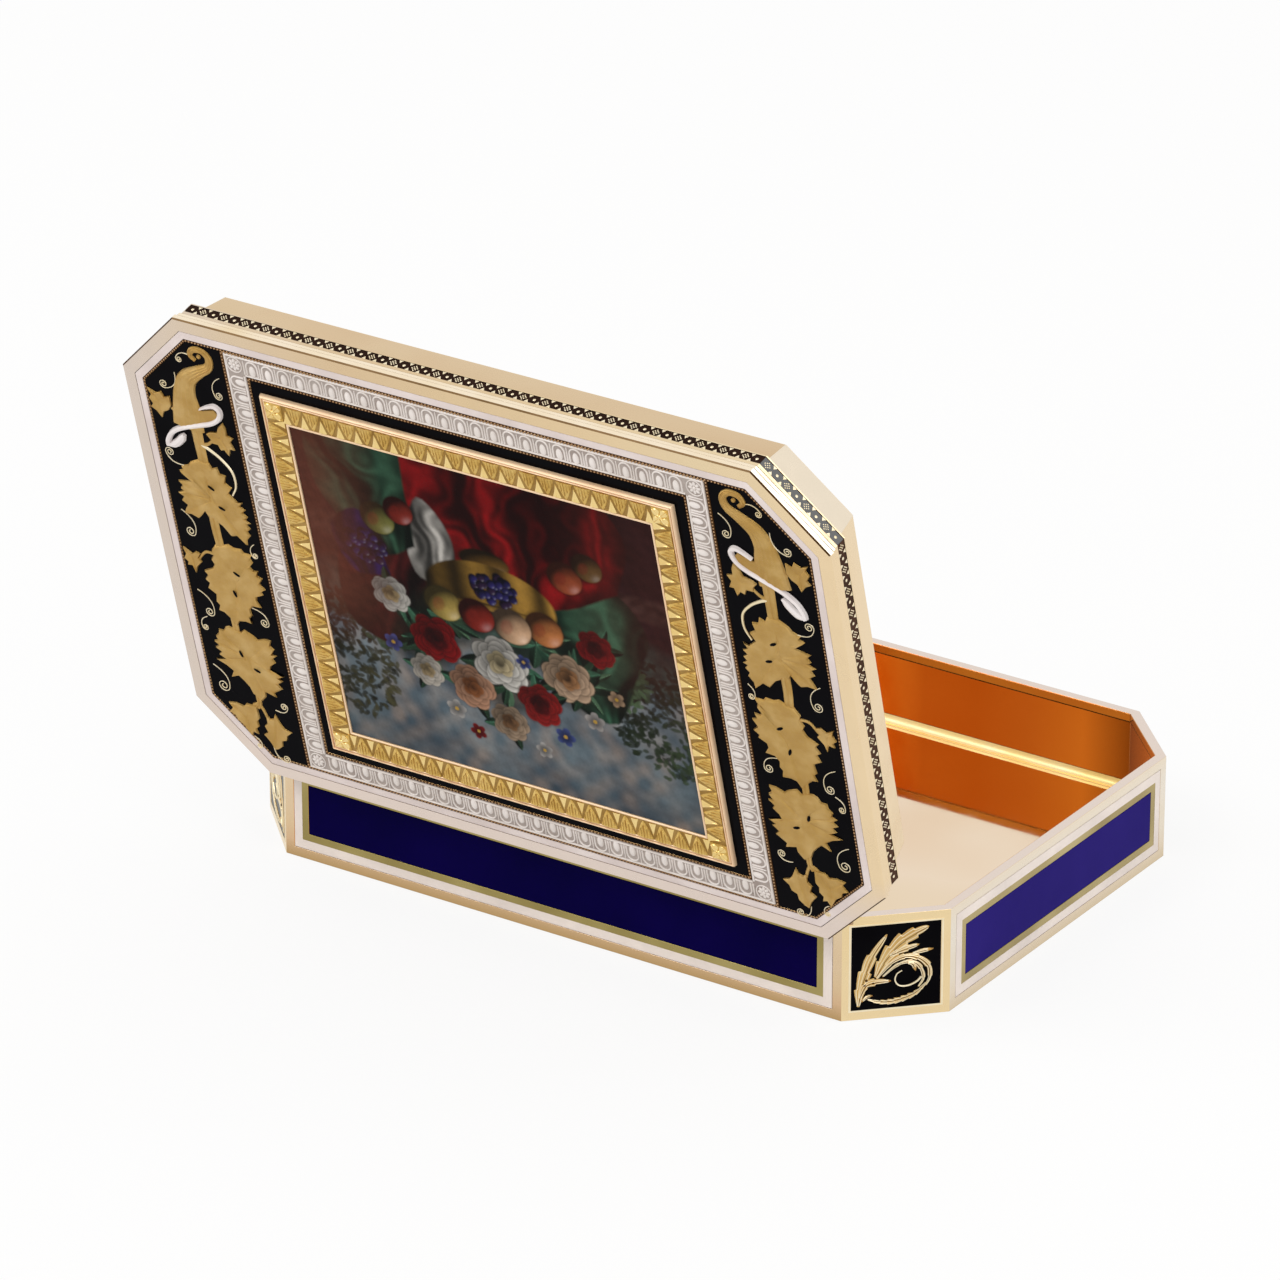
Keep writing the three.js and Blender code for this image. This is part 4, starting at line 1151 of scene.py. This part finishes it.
RIBBON_ENDS = 0.4  # narrow ends, as a share of the full width
RIBBON_WIDENS = 3  # how fast it grows from there along its run
RIBBON_HALF = 0.34
RIBBON_RISE = 0.48
RIBBON_TAIL = ((-4.1, 44.3), (-3.2, 44.6), (-2.4, 45.3), (-1.6, 46.3))
TAIL_WIDENS = 2
TAIL_HALF = 0.5
TAIL_RISE = 0.42
TENDRILS = (  # where it leaves, middle of its curl, radius of its curl, hand
    ((1.6, 57.4), (-0.2, 56.6), 0.42, 1),
    ((-1.25, 54.6), (-3.1, 52.6), 0.55, -1),
    ((4.9, 55.4), (4.3, 52.9), 0.55, 1),
    ((-2.7, 41.8), (-4.3, 43.2), 0.6, -1),
    ((-4.5, 35.4), (-3.8, 32.6), 0.66, -1),
    ((-4.7, 24.4), (-3.6, 21.6), 0.62, -1),
    ((-4.1, 20.8), (-4.7, 19.2), 0.42, 1),
    ((2.6, 23.9), (3.9, 22.2), 0.6, -1),
    ((4.8, 33.2), (4.6, 31.6), 0.4, 1),
    ((-4.8, 14.0), (-3.9, 11.3), 0.78, -1),
    ((2.8, 9.8), (4.1, 10.6), 0.5, 1),
    ((1.4, 4.2), (2.9, 2.95), 0.5, 1),
    ((-1.0, 5.0), (-0.6, 3.8), 0.34, -1),
)
TENDRIL_HALF = 0.06
TENDRIL_RISE = 0.09
CURL_TURNS = 1.7
CURL_POINTS = 30
CURL_END = 0.2  # a spiral's last radius as a share of its first
CURL_JOIN = 2.2  # radians round the curl from its near side to where the line joins it
CURL_BOW = 0.7  # how far the line bows, as a share of its length


def vine_leaf(outline):
    """A leaf crowned a little way in from its edge, with veins that run out to its longest points."""
    outline = np.array(outline)
    middle = outline.mean(axis=0)
    spokes = outline - middle
    far = np.linalg.norm(spokes, axis=1)
    nearby = np.max([np.roll(far, shift) for shift in range(-3, 4)], axis=0)
    veins = spokes[far == nearby] / far[far == nearby, None]
    rows = []
    for share, lift in LEAF_LEVELS:
        points = spokes * share
        ahead = points @ veins.T
        aside = np.abs(np.outer(points[:, 0], veins[:, 1]) - np.outer(points[:, 1], veins[:, 0]))
        nearest = np.where(ahead > 0, aside, np.inf).min(axis=1)
        sunk = VEIN_DEPTH * np.exp(-(nearest / VEIN_HALF) ** 2) * (share < VEIN_END)
        rows.append(np.column_stack([points + middle, VINE_RISE * lift * (1 - sunk)]))
    return loft(rows)


def curl(start, middle, radius, hand):
    """A tendril: a bowed line from its start that winds up into a small spiral."""
    away = np.subtract(start, middle)
    join = math.atan2(away[1], away[0]) + hand * CURL_JOIN
    angles = join + hand * np.linspace(0, CURL_TURNS * 2 * math.pi, CURL_POINTS)
    sizes = radius * np.linspace(1, CURL_END, CURL_POINTS)[:, None]
    spiral = middle + sizes * np.stack([np.cos(angles), np.sin(angles)], axis=1)
    heading = hand * np.array([-math.sin(join), math.cos(join)])
    bend = spiral[0] - heading * CURL_BOW * np.linalg.norm(away)
    share = np.linspace(0, 1, 9)[:-1, None]
    line = (1 - share) ** 2 * start + 2 * share * (1 - share) * bend + share ** 2 * spiral[0]
    return np.concatenate([line, spiral])


def add_horn(gold, panel):
    """The horn of plenty: fluted, with a wide lip, a curled tip and a bead in the curl."""
    run = smooth(HORN, 10)
    gold.add(ridge(run[:, :2], run[:, 2], np.linspace(*HORN_RISES, len(run)), FLUTED), panel)
    gold.add(pad(HORN_LIP, HORN_LIP_RISE, HORN_LIP_BEVEL), panel)
    gold.add(dome(*HORN_EYE), panel @ at(*HORN_EYE_PLACE))


def ribbon_half(share):
    """Half the ribbon's width, narrow where it leaves the horn."""
    return RIBBON_HALF * min(1, RIBBON_ENDS + RIBBON_WIDENS * share)


def tail_half(share):
    """Half the width of the ribbon's tail, narrow at both ends."""
    widening = RIBBON_ENDS + TAIL_WIDENS * share
    narrowing = RIBBON_ENDS + RIBBON_WIDENS * (1 - share)
    return TAIL_HALF * min(1, widening, narrowing)


def vine_ornament(name, side):
    """All that lies on one vine panel: leaves, horn and stem, ribbon, tendrils and leaf eyes."""
    low, high = node_box(f"vine_panel_{name}", LID)
    panel = Matrix.Translation(((low[0] + high[0]) / 2, HALF_WIDTH, FACE))
    panel = panel @ Matrix.Scale(-side, 4, (1, 0, 0)) @ Matrix.Scale(-1, 4, (0, 1, 0))
    vine, white, fine, eyes = Shape(), Shape(), Shape(), Shape()
    vine.add(ridge(smooth(VINE_STEM), taper(*STEM_HALVES), STEM_RISE, RIBBED), panel)
    for *path, start, end in VINE_STALKS:
        vine.add(ridge(smooth(path), taper(start, end), STALK_RISE), panel)
    for outline in VINE_LEAVES:
        vine.add(vine_leaf(outline), panel)
    for across, back, turn in LEAF_EYES:
        eyes.add(dome(*LEAF_EYE, FEW_SIDES), panel @ at(across, back, LEAF_EYE_LIFT * VINE_RISE, turn))
    add_horn(vine, panel)
    white.add(ridge(smooth(RIBBON), ribbon_half, RIBBON_RISE), panel)
    white.add(ridge(smooth(RIBBON_TAIL), tail_half, TAIL_RISE), panel)
    fine.add(ridge(smooth(VINE_BRANCH), taper(*BRANCH_HALVES), BRANCH_RISE), panel)
    for tendril in TENDRILS:
        fine.add(ridge(curl(*tendril), TENDRIL_HALF, TENDRIL_RISE), panel)
    piece = lid_piece(f"vine_{name}", vine, ORNAMENT_GOLD)
    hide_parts(f"vine_ornament_{name}")
    lid_piece(f"ribbon_{name}", white, RIBBON_WHITE)
    lid_piece(f"tendrils_{name}", fine, LINE_GOLD)
    lid_piece(f"leaf_eyes_{name}", eyes, BLACK_ENAMEL)


# The painted plaque: a gilt bowl of fruit and flowers on a draped ledge, before woods and an evening sky.
# Places and sizes are in mm from the picture's lower left corner.
PAINT_STEP = 0.13
LIGHT = (-0.5, 0.62, 0.6)
SHADOW_REACH = 1.14  # how far a shadow reaches past its fruit or petal, as a share of the half size
PLAQUE_CROWN = 0.12
PLAQUE_EDGE = 0.01  # brightness of the plaque's hidden edge
WHOLE = (slice(None), slice(None))


def pigment(code):
    return np.array(tone(code)[:3])


class Canvas:
    """A picture in the making: colours on a grid, in mm from its lower left corner."""

    def __init__(self, width, height):
        self.columns = round(width / PAINT_STEP) + 1
        self.rows = round(height / PAINT_STEP) + 1
        across, up = np.linspace(0, width, self.columns), np.linspace(0, height, self.rows)
        self.x, self.y = np.meshgrid(across, up)
        self.colour = np.zeros((self.rows, self.columns, 3))
        self.chance = np.random.default_rng(7)

    def lay(self, cover, colour, window=WHOLE):
        """Covers what is there by a share of a colour or of a whole field of colours."""
        ground = self.colour[window]
        ground += cover[..., None] * (np.asarray(colour) - ground)

    def cloud(self, size):
        """Soft patches from 0 to 1, about size mm across."""
        field = np.zeros_like(self.x)
        for _ in range(12):
            turn, phase = self.chance.uniform(0, 2 * math.pi, 2)
            stretch = self.chance.uniform(0.6, 1.6) * 2 * math.pi / size
            field += np.sin(stretch * (self.x * math.cos(turn) + self.y * math.sin(turn)) + phase)
        return np.clip(0.5 + field / 10, 0, 1)

    def patch(self, outline, soft=0.5):
        """How far a smooth closed outline covers each point, fading over a soft edge."""
        ring = smooth([*outline, outline[0]], 5)
        inside = np.zeros(self.x.shape, bool)
        near = np.full(self.x.shape, np.inf)
        for start, end in zip(ring, ring[1:]):
            step = end - start
            right, up = self.x - start[0], self.y - start[1]
            crosses = (start[1] > self.y) != (end[1] > self.y)
            inside ^= crosses & (right * step[1] < up * step[0]) ^ (crosses & (step[1] < 0))
            share = np.clip((right * step[0] + up * step[1]) / (step @ step), 0, 1)
            near = np.minimum(near, np.hypot(right - share * step[0], up - share * step[1]))
        return np.clip(0.5 + np.where(inside, near, -near) / soft, 0, 1)

    def local(self, x, y, half_x, half_y, turn):
        """The grid round a middle, and its places in shares of two half sizes, turned by degrees."""
        reach = 1.2 * max(half_x, half_y)
        window = tuple(
            slice(*(max(0, round((middle + side * reach) / PAINT_STEP)) for side in (-1, 1)))
            for middle in (y, x)
        )
        c, s = math.cos(math.radians(turn)), math.sin(math.radians(turn))
        right, up = self.x[window] - x, self.y[window] - y
        return window, (right * c + up * s) / half_x, (up * c - right * s) / half_y

    def dab(self, x, y, half_x, half_y, turn, colour, strength=0.8):
        """One soft stroke of the brush."""
        window, p, q = self.local(x, y, half_x, half_y, turn)
        self.lay(strength * np.clip(1.6 * (1 - p ** 2 - q ** 2), 0, 1), colour, window)

    def crown(self, x, y, half_x, half_y, code, dabs):
        """A mass of leaves in small dabs, dark at first and lighter where the light falls."""
        for share in np.linspace(0, 1, dabs):
            turn, out = self.chance.uniform(0, 2 * math.pi), self.chance.uniform(0, 1) ** 0.5
            p, q = out * math.cos(turn), out * math.sin(turn)
            lit = max(0.0, 0.3 + 0.5 * (q - p)) * share
            self.dab(x + p * half_x, y + q * half_y, self.chance.uniform(0.4, 0.9), 0.32,
                     self.chance.uniform(0, 180), pigment(code) * (0.3 + 2.4 * lit))

    def ball(self, x, y, half_x, half_y, code, turn=0.0, shine=0.12):
        """A rounded fruit or bud, lit from the upper left, over its own shadow."""
        window, p, q = self.local(x, y, half_x, half_y, turn)
        far = np.hypot(p, q)
        edge = min(half_x, half_y)
        self.lay(0.6 * np.clip((SHADOW_REACH - far) * edge / 0.5, 0, 1), pigment(code) * 0.05, window)
        depth = np.sqrt(np.clip(1 - far ** 2, 0, 1))
        lit = np.clip(p * LIGHT[0] + q * LIGHT[1] + depth * LIGHT[2], 0, 1)
        colour = pigment(code) * (0.07 + 0.95 * lit[..., None] ** 1.3) + shine * (lit ** 22)[..., None]
        self.lay(np.clip((1 - far) * edge / 0.2, 0, 1), colour, window)

    def petal(self, x, y, half, turn, colour):
        """A cupped petal over its own shadow: dark at its root, light at its rim."""
        window, p, q = self.local(x, y, half, 0.86 * half, turn)
        far = np.hypot(p, q)
        self.lay(0.5 * np.clip((SHADOW_REACH - far) * half / 0.3, 0, 1), colour * 0.1, window)
        light = 0.14 + 0.5 * np.clip(0.5 + 0.5 * p, 0, 1) ** 1.5 + 0.45 * np.clip(far, 0, 1) ** 8
        self.lay(np.clip((1 - far) * half / 0.18, 0, 1), colour * light[..., None], window)

    def rose(self, x, y, size, code, heart):
        """A full-blown rose: rings of cupped petals that close in on its heart."""
        for ring, count in ((1.0, 8), (0.8, 7), (0.58, 6), (0.38, 5), (0.2, 3)):
            start = self.chance.uniform(0, 360)
            for i in range(count):
                turn = start + 360 * i / count + self.chance.uniform(-14, 14)
                aim = math.cos(math.radians(turn)), math.sin(math.radians(turn))
                side = 0.78 + 0.4 * (aim[0] * LIGHT[0] + aim[1] * LIGHT[1])
                out = 0.56 * size * ring
                self.petal(x + out * aim[0], y + out * aim[1], 0.5 * size * (0.34 + 0.6 * ring), turn,
                           side * pigment(code if ring > 0.5 else heart))

    def blossom(self, x, y, size, code):
        """A small five-petalled flower with a yellow eye."""
        start = self.chance.uniform(0, 360)
        out = 0.55 * size
        for turn in range(0, 360, 72):
            aim = math.radians(start + turn)
            petal = x + out * math.cos(aim), y + out * math.sin(aim)
            self.petal(*petal, 0.5 * size, start + turn, pigment(code))
        self.dab(x, y, 0.24 * size, 0.24 * size, 0, pigment("b08a2c"))

    def blade(self, x, y, length, half, turn, code):
        """A pointed leaf with a lighter half and a pale midrib."""
        window, p, q = self.local(x, y, length, half, turn)
        edge = np.clip(4 * p * (1 - p), 0, 1) ** 0.7 - np.abs(q)
        cover = np.clip(edge * half / 0.2, 0, 1) * (p > 0) * (p < 1)
        shade = np.where(q > 0, 0.95, 0.4) + 0.5 * np.exp(-(q / 0.14) ** 2) - 0.4 * p
        self.lay(cover, pigment(code) * shade[..., None], window)

    def cloth(self, outline, code, held, folds):
        """Cloth that hangs in folds which fan out from where it is held, shaded along its edge."""
        fan = folds * np.arctan2(self.x - held[0], held[1] - self.y) + 3.5 * self.cloud(12)
        broad = 0.5 + 0.5 * np.sin(fan)
        fine = 0.5 + 0.5 * np.sin(3.1 * fan + 6 * self.cloud(6))
        light = (0.06 + 1.1 * (0.7 * broad + 0.3 * fine) ** 2.1) * self.patch(outline, 4) ** 0.7
        self.lay(self.patch(outline, 0.35), pigment(code) * light[..., None])


HILLS = ((-9, 2), (55, 2), (55, 22), (40, 24.5), (30, 22), (16, 24), (6, 22.5), (-9, 25))
SHADE = ((-9, -9), (55, -9), (55, 18), (41, 17), (30, 19), (12, 18.5), (5, 17), (-9, 19))
LEDGE = ((-9, 10.6), (55, 10.6), (55, 13.2), (23, 13.6), (-9, 13.2))
CLOTHS = (  # outline, tone, where it is held, folds
    (((5, 21), (9, 29), (15, 27), (17, 17), (13, 9), (6, 11), (3, 16)), "365c46", (10, 36), 9),
    (((30, 24), (36, 27), (43, 24), (42, 13), (36, 9), (31, 13)), "40100f", (38, 36), 9),
    (((6, 11), (15, 15.5), (28, 15), (35, 10), (32, -4), (12, -4), (4, 3)), "720a0d", (20, 25), 12),
    (((27, 15.5), (32, 16), (33, 11), (30.5, 5), (27, 9)), "a8a49e", (29, 22), 14),
    (((32, 12), (37, 14), (44, 7), (43, -4), (33, -4), (32, 5)), "2c4a38", (35, 21), 10),
    (((36, 17), (41, 17.5), (43, 12), (38.5, 9)), "141050", (38, 23), 10),
)
BOWL = (23, 16.2, 8.6, 4.6)  # middle and half sizes
BOWL_FOOT = (23, 11.4, 3.4, 1.6)
BOWL_RIM = (23, 17.6, 8.9, 0.55)
LEAF_TONES = ("2a4232", "38604a", "223828", "4c6a50")
GRAPE_TONES = ("1c1846", "262058", "281634")
WOODS = (  # middle, half sizes, tone, dabs
    ((3, 27), (6.5, 8), "26301e", 420),
    ((43.5, 29), (6, 9), "2c2a1a", 420),
    ((8.5, 23), (4.5, 4), "30402c", 200),
    ((38.5, 23), (5, 4.5), "2a3a2a", 220),
)
SPRAYS = (  # middle, leaves
    ((13, 25), 16), ((33.5, 25), 16), ((23, 28), 20), ((18, 21), 10), ((29.5, 21), 10),
)
FRUIT = (  # x, y, half size, tone
    (16.6, 18.6, 2.5, "a8683a"), (20.9, 19.4, 2.6, "b89474"), (29.6, 18.8, 2.5, "9a8444"),
    (25.4, 19.2, 2.4, "782016"), (12.6, 10.6, 2.3, "8c4226"), (9.4, 8.4, 2.0, "644a26"),
    (36.4, 9.4, 2.3, "6a6834"), (33.4, 7.6, 2.0, "74241a"),
)
ROSES = (  # x, y, size, tone, tone of the heart
    (14.6, 24.6, 3.3, "c0a286", "a87850"), (23.4, 25.2, 3.7, "ccc8c0", "c4b48e"),
    (31.6, 24.2, 3.3, "7c0e10", "4a0508"), (19.0, 29.4, 2.9, "8e1c1a", "54090c"),
    (27.8, 29.6, 3.0, "b88a6e", "945a34"), (23.6, 33.2, 2.5, "a89078", "8a6444"),
    (36.6, 19.6, 2.5, "bcb8b0", "ac966e"), (10.2, 19.4, 2.5, "821416", "4c080c"),
    (33.6, 29.0, 2.2, "c4bcb0", "b09a74"),
)
BLOSSOMS = (  # x, y, size, tone
    (16.4, 33.0, 1.3, "4a5896"), (30.6, 33.4, 1.3, "c0bcb8"), (12.0, 29.6, 1.3, "b8b2ae"),
    (28.2, 35.8, 1.1, "8a1a1c"), (19.6, 35.8, 1.1, "c4c0bc"), (37.6, 26.4, 1.2, "50589a"),
    (8.6, 25.6, 1.1, "c0a080"), (20.2, 24.0, 1.0, "46508c"),
)
GRAPES = (((38.8, 13.8), 46), ((22.4, 14.8), 46))  # middle, berries
BUNCH_HALVES = (2.7, 2.0)
SPRAY_HALVES = (5.5, 4.5)
LEAF_LENGTHS = (2.6, 5.4)
LEAF_HALVES = (0.55, 1.1)
SKY, HAZE, GLOW = "34424e", "7c8a90", "b09884"
GLAZE_HEIGHTS = (29, 21)  # where the glazes start and where they are full
GLAZES = (  # strength, where it starts and is full across the picture, tone
    (0.6, 35, 44, "74402f"),
    (0.45, 14, 2, "4a241e"),
)
GRAIN = ((0.1, 0.7), (0.2, 1.9))  # strength, size
GRAIN_BASE = 0.86
CORNER_SHADE = 0.4
CORNER_START = 0.55  # from the middle, in shares of the half sizes
BERRY = 0.66


def paint_ground(canvas, outline, soft, code, size, dark=0.4, light=0.9):
    """A mottled stretch of ground with a soft edge."""
    colour = pigment(code) * (dark + light * canvas.cloud(size))[..., None]
    canvas.lay(canvas.patch(outline, soft), colour)


def paint_background(canvas, height):
    """Slate sky with thin cloud over far hills, woods at both sides and a dark ledge."""
    rise = np.clip(canvas.y / height, 0, 1)
    haze = (0.65 * canvas.cloud(14) + 0.35 * canvas.cloud(5)) * np.clip(1.9 - 1.3 * rise, 0, 1)
    sky = pigment(SKY) + (pigment(HAZE) - pigment(SKY)) * haze[..., None] ** 1.4
    canvas.lay(np.ones_like(canvas.x), sky)
    canvas.lay(0.5 * canvas.cloud(9) * canvas.cloud(4), pigment(GLOW))
    paint_ground(canvas, HILLS, 0.8, "34443e", 3, 0.5, 0.8)
    for middle, halves, code, dabs in WOODS:
        canvas.crown(*middle, *halves, code, dabs)
    paint_ground(canvas, SHADE, 3, "1a0c12", 6)
    paint_ground(canvas, LEDGE, 0.8, "3c2a26", 2)


def paint_bowl(canvas):
    """A gilt bowl with upright flutes, a bright rim and a foot."""
    canvas.ball(*BOWL_FOOT, "5a4018")
    window, p, q = canvas.local(*BOWL, 0)
    flutes = 0.5 + 0.5 * np.sin(9 * np.arcsin(np.clip(p, -1, 1)))
    light = (0.12 + 0.6 * flutes) * np.clip(0.75 - 0.7 * p, 0.15, 1)
    cover = np.clip((1 - np.hypot(p, q)) * BOWL[3] / 0.25, 0, 1) * (q < 0.3)
    canvas.lay(cover, pigment("a47c34") * light[..., None], window)
    canvas.ball(*BOWL_RIM, "a07a36")


def paint_leaves(canvas):
    for (x, y), count in SPRAYS:
        canvas.dab(x, y, *SPRAY_HALVES, 0, pigment("0e140e"), 0.75)
        for _ in range(count):
            length, half = canvas.chance.uniform(*LEAF_LENGTHS), canvas.chance.uniform(*LEAF_HALVES)
            turn = canvas.chance.uniform(0, 360)
            canvas.blade(x, y, length, half, turn, canvas.chance.choice(LEAF_TONES))


def paint_fruit(canvas):
    for x, y, half, code in FRUIT:
        canvas.ball(x, y, half, 0.95 * half, code)
        canvas.dab(x + 0.25 * half, y + 0.1 * half, 0.5 * half, 0.35 * half, 60, pigment("6e1c14"), 0.35)
    for (x, y), count in GRAPES:
        for _ in range(count):
            turn, out = canvas.chance.uniform(0, 2 * math.pi), canvas.chance.uniform(0, 1) ** 0.5
            tint = canvas.chance.choice(GRAPE_TONES)
            berry_x = x + BUNCH_HALVES[0] * out * math.cos(turn)
            canvas.ball(berry_x, y + BUNCH_HALVES[1] * out * math.sin(turn), BERRY, BERRY, tint)


def paint_flowers(canvas):
    for x, y, size, code, heart in ROSES:
        for tint in LEAF_TONES[1:3]:
            canvas.blade(x, y, 1.5 * size, 0.3 * size, canvas.chance.uniform(0, 360), tint)
        canvas.rose(x, y, size, code, heart)
    for blossom in BLOSSOMS:
        canvas.blossom(*blossom)


def from_middle(canvas):
    """How far each point lies right of and above the picture's middle, in shares of its half sizes."""
    return (2 * place / place.max() - 1 for place in (canvas.x, canvas.y))


def grown(places, start, full):
    """0 up to a start, and from there to 1 where it is full."""
    return np.clip((places - start) / (full - start), 0, 1)


def finish_painting(canvas):
    """Warm glazes at both ends below the sky, the grain of the brush, and corners that sink into shade."""
    low = grown(canvas.y, *GLAZE_HEIGHTS)
    for strength, start, full, code in GLAZES:
        canvas.lay(strength * low * grown(canvas.x, start, full), pigment(code))
    grain = GRAIN_BASE + sum(strength * canvas.cloud(size) for strength, size in GRAIN)
    shade = 1 - CORNER_SHADE * np.clip(np.hypot(*from_middle(canvas)) - CORNER_START, 0, 1)
    canvas.colour *= (grain * shade)[..., None]


def paint_picture(width, height):
    canvas = Canvas(width, height)
    paint_background(canvas, height)
    for cloth in CLOTHS:
        canvas.cloth(*cloth)
    paint_leaves(canvas)
    paint_bowl(canvas)
    paint_fruit(canvas)
    paint_flowers(canvas)
    finish_painting(canvas)
    return canvas


def plaque_top(canvas, low, high):
    """The slightly domed face of the plaque, one point for each of the picture's."""
    crown = PLAQUE_CROWN * np.max(np.abs([*from_middle(canvas)]), axis=0) ** 2
    top = np.stack([canvas.x + low[0], canvas.y + low[1], high[2] - crown], axis=-1)
    return top.reshape(-1, 3)


def painted_plaque():
    low, high = node_box("picture_plaque", LID)
    canvas = paint_picture(*(high - low)[:2])
    top = plaque_top(canvas, low, high)
    index = np.arange(len(top)).reshape(canvas.rows, canvas.columns)
    quads = np.stack([index[:-1, :-1], index[:-1, 1:], index[1:, 1:], index[1:, :-1]], axis=-1)
    rim = [*index[0, :-1], *index[:-1, -1], *index[-1, :0:-1], *index[:0:-1, 0]]
    foot = [[top[i][0], top[i][1], low[2]] for i in rim]
    below = list(range(len(top), len(top) + len(rim)))
    wall = [[rim[i - 1], below[i - 1], below[i], rim[i]] for i in range(len(rim))]
    shape = Shape()
    shape.add((np.concatenate([top, foot]), [*quads.reshape(-1, 4).tolist(), *wall, below]))
    mesh = shape.mesh("painted_plaque")
    paint = mesh.color_attributes.new("paint", "FLOAT_COLOR", "POINT")
    picture = np.clip(canvas.colour, 0, 1).reshape(-1, 3)
    colours = np.concatenate([picture, np.full((len(rim), 3), PLAQUE_EDGE)])
    paint.data.foreach_set("color", np.column_stack([colours, np.ones(len(colours))]).ravel())
    piece = place_piece("painted_plaque", mesh, [PAINTED_ENAMEL], "lid", LID)
    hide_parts("picture_plaque")


# Stage: a pale floor, soft light and the camera, in metres
CAMERA_PLACE = (-0.44662, 0.683033, 0.400989)
CAMERA_AIM = Vector((0.011654, -0.002533, 0.01962))
LENS = 228.286  # these two in mm, as a lens is marked
SENSOR = 36.0
NEAREST = 0.01
LAMPS = (  # name, place, size, power
    ("key", (0.35, 0.55, 0.75), 0.5, 2.6),
    ("fill", (-0.75, 0.2, 0.5), 0.6, 1.6),
    ("glint", (-0.62, -0.46, 0.71), 0.2, 0.22),
)
FLOOR_HALF = 3.0
FLOOR_DROP = 0.05 * MM  # under the box's flat underside
FLOOR_TONE = (0.88, 0.88, 0.88, 1)
FLOOR_GLOW = 0.85
ROOM_TONE = (1.0, 0.985, 0.97, 1)
ROOM_LIGHT = 0.8


def backdrop_share(nodes):
    """1 for rays from the camera, from a gloss or through glass, 0 for the rest."""
    rays = nodes.add("ShaderNodeLightPath").outputs
    seen = nodes.combine("MAXIMUM", rays["Is Camera Ray"], rays["Is Glossy Ray"])
    return nodes.combine("MAXIMUM", seen, rays["Is Transmission Ray"])


def floor_material():
    """Pale and matt; what looks at it sees mostly plain white, with the box's shadow kept."""
    floor = Finish("pale_floor", Base_Color=FLOOR_TONE, Roughness=0.9, Specular_IOR_Level=0.0)
    share = floor.combine("MULTIPLY", backdrop_share(floor), FLOOR_GLOW)
    floor.blend(share, floor.shader, floor.add("ShaderNodeEmission"), "Material Output")
    return floor.material


def make_floor():
    mesh = bpy.data.meshes.new("floor")
    corners = [(*corner, -FLOOR_DROP) for corner in rectangle(FLOOR_HALF, FLOOR_HALF)]
    mesh.from_pydata(corners, [], [(0, 1, 2, 3)])
    mesh.materials.append(floor_material())
    floor = bpy.data.objects.new("floor", mesh)
    bpy.context.scene.collection.objects.link(floor)


def make_world():
    """A white room for the eye and the gold, and a softer even light for the rest."""
    world = bpy.data.worlds.new("studio")
    bpy.context.scene.world = world
    room = Nodes(world)
    light = room.tree.nodes["Background"]
    light.inputs["Color"].default_value = ROOM_TONE
    light.inputs["Strength"].default_value = ROOM_LIGHT
    white = room.add("ShaderNodeBackground", Color=(1, 1, 1, 1))
    room.blend(backdrop_share(room), light, white, "World Output")


def stand(name, data, place):
    """Stands a lamp or a camera at a place, looking at the box."""
    holder = bpy.data.objects.new(name, data)
    bpy.context.scene.collection.objects.link(holder)
    holder.location = place
    holder.rotation_euler = (CAMERA_AIM - Vector(place)).to_track_quat("-Z", "Y").to_euler()
    return holder


def make_lamp(name, place, size, power):
    lamp = bpy.data.lights.new(name, "AREA")
    lamp.size = size
    lamp.energy = power
    stand(name, lamp, place)


def make_camera():
    lens = bpy.data.cameras.new("camera")
    lens.lens = LENS
    lens.sensor_width = SENSOR
    lens.clip_start = NEAREST
    bpy.context.scene.camera = stand("camera", lens, CAMERA_PLACE)


make_camera()
make_floor()
make_world()
for lamp in LAMPS:
    make_lamp(*lamp)
dress_base()
dress_lid()
dress_hinge()
for strip in WALL_STRIPS:
    wall_strip(*strip)
for side in WALLS:
    white_edge(side)
for corner in CORNERS:
    panel_edge(corner)
    corner_scroll(corner, corner in ("front_left", "back_right"))
check_band()
bead_lines()
egg_and_dart()
lotus_frame()
vine_ornament("right", 1)
vine_ornament("left", -1)
painted_plaque()

bpy.context.scene.view_settings.view_transform = "Standard"
